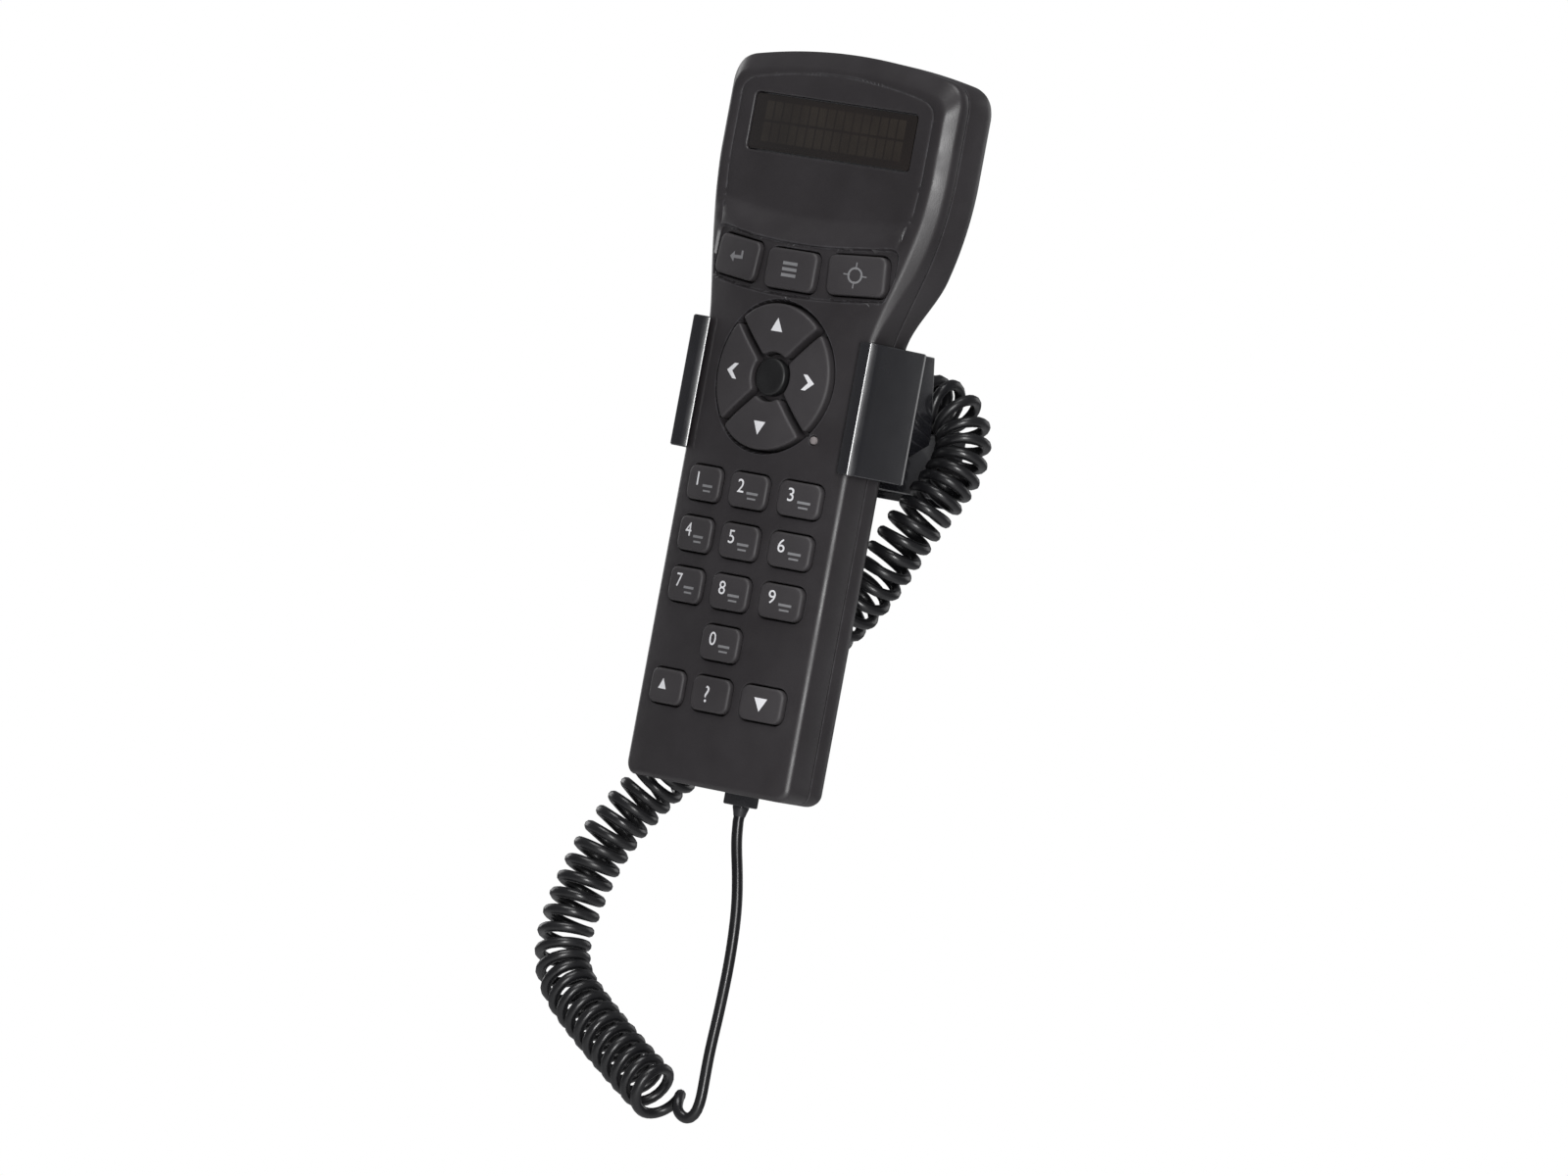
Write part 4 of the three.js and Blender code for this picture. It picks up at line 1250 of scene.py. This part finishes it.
TRIANGLE = [(-1, -0.8), (1, -0.8), (0, 1)]
CHEVRON = [(-0.95, -0.9), (-0.35, -0.9), (0.75, 0), (-0.35, 0.9), (-0.95, 0.9), (-0.1, 0)]
BAR = [(-1, -0.17), (1, -0.17), (1, 0.17), (-1, 0.17)]
RETURN = [
    (-1.5, 0), (-0.5, 0.8), (-0.5, 0.25), (1.1, 0.25), (1.1, 1), (1.55, 1), (1.55, -0.25),
    (-0.5, -0.25), (-0.5, -0.8),
]
PAD_MARKS = {  # figure, place from the pad's middle, size and turn
    "up": (TRIANGLE, 0, 13, 1.9, 0),
    "down": (TRIANGLE, 0, -13, 1.9, 180),
    "left": (CHEVRON, -13, 0, 2.2, 180),
    "right": (CHEVRON, 13, 0, 2.2, 0),
}


def ring_figure(x, z, radius, width):
    outer, inner = circle(radius, x, z, 28), circle(radius - width, x, z, 28)
    points = np.vstack([outer, inner])
    faces = [(k, (k + 1) % 28, 28 + (k + 1) % 28, 28 + k) for k in range(28)]
    return points, faces, boundary(faces)


def make_marks():
    for name, (points, x, z, size, turn) in PAD_MARKS.items():
        mark(f"mark_{name}", name, [figure(points, x, PAD_Z + z, size, turn)])
    for name in "1234567890":
        x, z = KEYS[name].mean(axis=0)
        mark(f"mark_{name}", name, [glyph(name, 3.4, x - 2.2, z + 1.0)])
        bars = [figure(BAR, x + 1.9, z - 0.6 - 1.3 * k, 1.9 - 0.5 * k) for k in range(2)]
        mark(f"mark_{name}_small", name, bars, "grey_print")
    up, ask, down = (KEYS[name].mean(axis=0) for name in ("scroll_up", "help", "scroll_down"))
    mark("mark_scroll_up", "scroll_up", [figure(TRIANGLE, up[0] - 1.2, up[1] + 0.4, 1.5)])
    mark("mark_help", "help", [glyph("?", 4.2, ask[0] - 0.8, ask[1])])
    mark("mark_scroll_down", "scroll_down", [figure(TRIANGLE, *down, 1.9, 180)])
    enter, mode, goto = (KEYS[name].mean(axis=0) for name in FUNCTION_KEYS)
    mark("mark_enter", "enter", [figure(RETURN, *enter, 1.7)], "grey_print")
    lines = [figure(BAR, mode[0], mode[1] + 1.5 * k, 2.4) for k in (-1, 0, 1)]
    mark("mark_mode", "mode", lines, "grey_print")
    target = [ring_figure(goto[0], goto[1], 2.1, 0.5)]
    for dx, dz, turn in ((2.4, 0, 0), (-2.4, 0, 0), (0, 2.4, 90), (0, -2.4, 90)):
        target.append(figure(BAR, goto[0] + dx, goto[1] + dz, 0.9, turn))
    mark("mark_goto", "goto", target, "grey_print")


# ---------------------------------------------------------------- small handset pieces


def make_pad_hub():
    profile = [
        (4.8, 2.0), (4.8, 0.2), (4.6, -0.15), (4.2, -0.35), (3.4, -0.3), (2.2, -0.05), (0.7, 0.05),
    ]
    hub = lathe("pad_centre", profile, (0, PAD_Z), sides=56)
    settle(hub, "handset", "pad_hub_plastic", "pad_hub")


def make_indicator():
    x, z, radius = LIGHT_DOT
    profile = [(radius, 6), (radius, 1.35), (radius * 0.85, 1.1), (radius * 0.5, 0.95), (0.15, 0.9)]
    settle(lathe("indicator", profile, (x, z), sides=24), "handset", "indicator_lens", "pad_light")


def make_window():
    smoked = bevelled(prism("smoked_window", window_outline(4), "y", 6.3, 7.6), 0.2, 2)
    settle(smoked, "handset", "window_plastic", "display_window")


def make_torch_lens():
    profile = [(2.5, 184.7), (2.5, 187.0), (2.2, 187.5), (1.4, 187.8), (0.4, 187.9)]
    lens = lathe("torch_lens", profile, TORCH, axis="z", sides=36)
    settle(lens, "handset", "lamp_red", "utility_lens")


def make_label():
    width, height, corner, middle = LABEL
    outline = rounded_box(width - 2, height - 2, corner) + (0, middle)
    label = prism("plain_label", outline, "y", BACK_Y - 0.34, BACK_Y - 0.2)
    settle(label, "handset", "casing_plastic", look="blank_label")


# ---------------------------------------------------------------- holder

JAW_Z = (83.5, 117)


# half of the clip's C-shaped section, from the middle of its plate round the right jaw's lip
CLIP_SECTION = [
    (0, 23), (28.6, 23), (29.9, 22.65), (30.85, 21.7), (31.2, 20.4), (31.2, 4.4), (31.2, 2.75),
    (31.05, 2.4), (29.75, 1.05), (29.3, 0.9), (26.7, 0.9), (26.45, 1.0), (25.3, 2.1), (25.25, 2.35),
    (25.5, 2.5), (27.7, 2.5), (28.5, 2.8), (28.8, 3.6), (28.8, 19.2), (28.45, 20.2), (27.4, 20.6),
    (0, 20.6),
]


def make_clip():
    right = np.array(CLIP_SECTION, float)
    left = right[1:-1][::-1] * (-1, 1)
    clip = prism("clip", np.vstack([right, left])[::-1], "z", *JAW_Z)
    work = bmesh.new()
    work.from_mesh(clip.data)
    level = [e for e in work.edges if abs(e.verts[0].co.z - e.verts[1].co.z) < 1e-6]
    bmesh.ops.bevel(work, geom=level, offset=0.35 * MM, segments=3, affect="EDGES", clamp_overlap=True)
    work.to_mesh(clip.data)
    work.free()
    clip.data.shade_smooth()
    clip.data.set_sharp_from_angle(angle=math.radians(25))
    return settle(clip, "holder", "holder_plastic", "holder_clip")


def make_arm():
    """Gusset, arm and end flange of the holder, joined and with broken edges."""
    side = [(23.3, 84), (42, 95), (42, 98), (38, 117), (23.3, 117)]
    gusset = prism("arm", side, "x", -20, 20)
    arm = block("arm_bar", (-15, 23.3, 82), (15, 61, 98))
    flange = block("arm_flange", (-15, 59, 80), (15, 62, 100))
    combined(gusset, [arm, flange], "UNION")
    pocket = block("arm_pocket", (-11, 44, 78), (11, 56, 84))
    combined(gusset, [pocket], "DIFFERENCE")
    bevelled(gusset, 0.6, 3, 25)
    return settle(gusset, "holder", "holder_plastic", "holder_arm")


# ---------------------------------------------------------------- plugs and tie


CONTACTS = [(k - 1.5) * 1.3 for k in range(4)]  # x of each contact from the plug's middle


def make_plug(name, place_on, cord_end, nose, body, node):
    """A modular plug at that x and y: cord_end and nose are the heights of its two ends."""
    x, y = place_on
    up = 1 if nose > cord_end else -1
    low, high = sorted((cord_end, nose))
    shell = bevelled(block(name, (x - 3.7, y - 3, low), (x + 3.7, y + 2.2, high)), 0.35, 2)
    cuts = []
    for offset in CONTACTS:
        near, far = sorted((nose + up, nose - 5 * up))
        middle = x + offset
        cuts.append(block("slot", (middle - 0.35, y - 4, near), (middle + 0.35, y - 1.9, far)))
    near, far = sorted((cord_end + 3 * up, cord_end + 5.5 * up))
    cuts.append(block("crimp", (x - 2.4, y + 1.6, near), (x + 2.4, y + 4, far)))
    combined(shell, cuts, "DIFFERENCE")
    settle(shell, body, "plug_plastic", node)
    side = [
        (y + 2.15, nose - 1 * up), (y + 3.0, nose - 1.6 * up), (y + 3.0, cord_end + 2 * up),
        (y + 2.5, cord_end + 1.6 * up), (y + 2.3, nose - 3.4 * up), (y + 2.15, nose - 3.4 * up),
    ]
    latch = bevelled(prism(name + "_latch", side, "x", x - 1.6, x + 1.6), 0.12, 2)
    settle(latch, body, "plug_plastic")
    blades = Shape()
    for offset in CONTACTS:
        low_x, high_x = x + offset - 0.15, x + offset + 0.15
        corners = [(low_x, y - 2.5), (high_x, y - 2.5), (high_x, y - 1.95), (low_x, y - 1.95)]
        ends = sorted((nose - 0.5 * up, nose - 4.6 * up))
        blades.solid([[(*c, h) for c in corners] for h in ends])
    contacts = mesh_object(name + "_contacts", blades.points, blades.faces)
    settle(contacts, body, "plug_plastic", look="contact_gold")
    sleeve = [(2.1, 0.3), (2.1, -0.4), (1.75, -1.6), (1.5, -2.6)]  # radius, height from cord_end
    profile = sorted(((r, cord_end + h * up) for r, h in sleeve), key=lambda step: step[1])
    collar = lathe(name + "_collar", profile, (x, y), axis="z", sides=28)
    settle(collar, body, "plug_plastic")
    return [shell, latch, contacts, collar]


def stadium(a, b, radius, steps=16):
    """Closed outline round two circles of one radius."""
    a, b = np.array(a, float), np.array(b, float)
    heading = math.degrees(math.atan2(*(b - a)[::-1]))
    turns = arc(b, radius, heading - 90, heading + 90, steps)
    turns += arc(a, radius, heading + 90, heading + 270, steps)
    return evened(np.array(turns), 96)


def make_tie():
    """A hook-and-loop strap round two runs of the stored coil, its end lapped over its start."""
    centre = stadium(*TIE_RUNS, HELIX_RADIUS + CORD_RADIUS + 0.4 + 0.55)
    outward = normals_of(centre)
    low, high = TIE_Z
    shape = Shape()
    rings = []
    for k in range(len(centre)):
        wave = 0.25 * math.sin(k * 0.41) + 0.15 * math.sin(k * 0.93)
        inner, outer = -0.5, 1.25 if 58 <= k <= 76 else 0.5
        corners = [
            (inner, low), (outer - 0.15, low), (outer, low + 0.3),
            (outer, high - 0.3), (outer - 0.15, high), (inner, high),
        ]
        rings.append([(*(centre[k] + outward[k] * o), h + wave * 0.4) for o, h in corners])
    made = [shape.ring(r) for r in rings]
    for a, b in zip(made, made[1:] + made[:1]):
        shape.band(a, b)
    tie = mesh_object("coil_tie", shape.points, shape.faces, sharp=40)
    return settle(tie, "holder", "tie_fabric", "cord_tie")


# ---------------------------------------------------------------- the rest of the frame


def paint_frame():
    """Every CAD node that still shows gets the procedural material of its own slot."""
    slots = {part["node"]: part["material_slot"] for part in frame["record"]["subparts"]}
    for name, piece in frame["nodes"].items():
        piece.data.materials.clear()
        piece.data.materials.append(MATERIALS[slots[name]])


LIGHTS = {  # azimuth, elevation, distance, size in metres and power in watts
    "key": (48, 4, 3.4, (0.55, 1.7), 82),
    "top": (20, 66, 2.4, (1.5, 1.1), 30),
    "left": (-100, 12, 2.8, (1.2, 1.6), 12),
    "behind": (172, 16, 2.8, (1.4, 1.6), 7),
}


def main():
    make_camera()
    make_materials()
    cord = make_cord()
    make_world()
    make_floor()
    for name, values in LIGHTS.items():
        softbox(name, *values)
    paint_frame()
    make_front_casing()
    make_rear_casing()
    make_casing_screws()
    for name in KEYS:
        make_key(name)
    make_marks()
    make_pad_hub()
    make_indicator()
    make_window()
    make_torch_lens()
    make_label()
    make_clip()
    make_arm()
    near = make_plug("cord_plug_near", NEAR_PLUG, -3, 11, "handset", "near_plug")
    far = make_plug("cord_plug_far", FAR_PLUG, 76, 62, "holder", "far_plug")
    tie = make_tie()


bpy.context.scene.view_settings.view_transform = "Standard"
main()
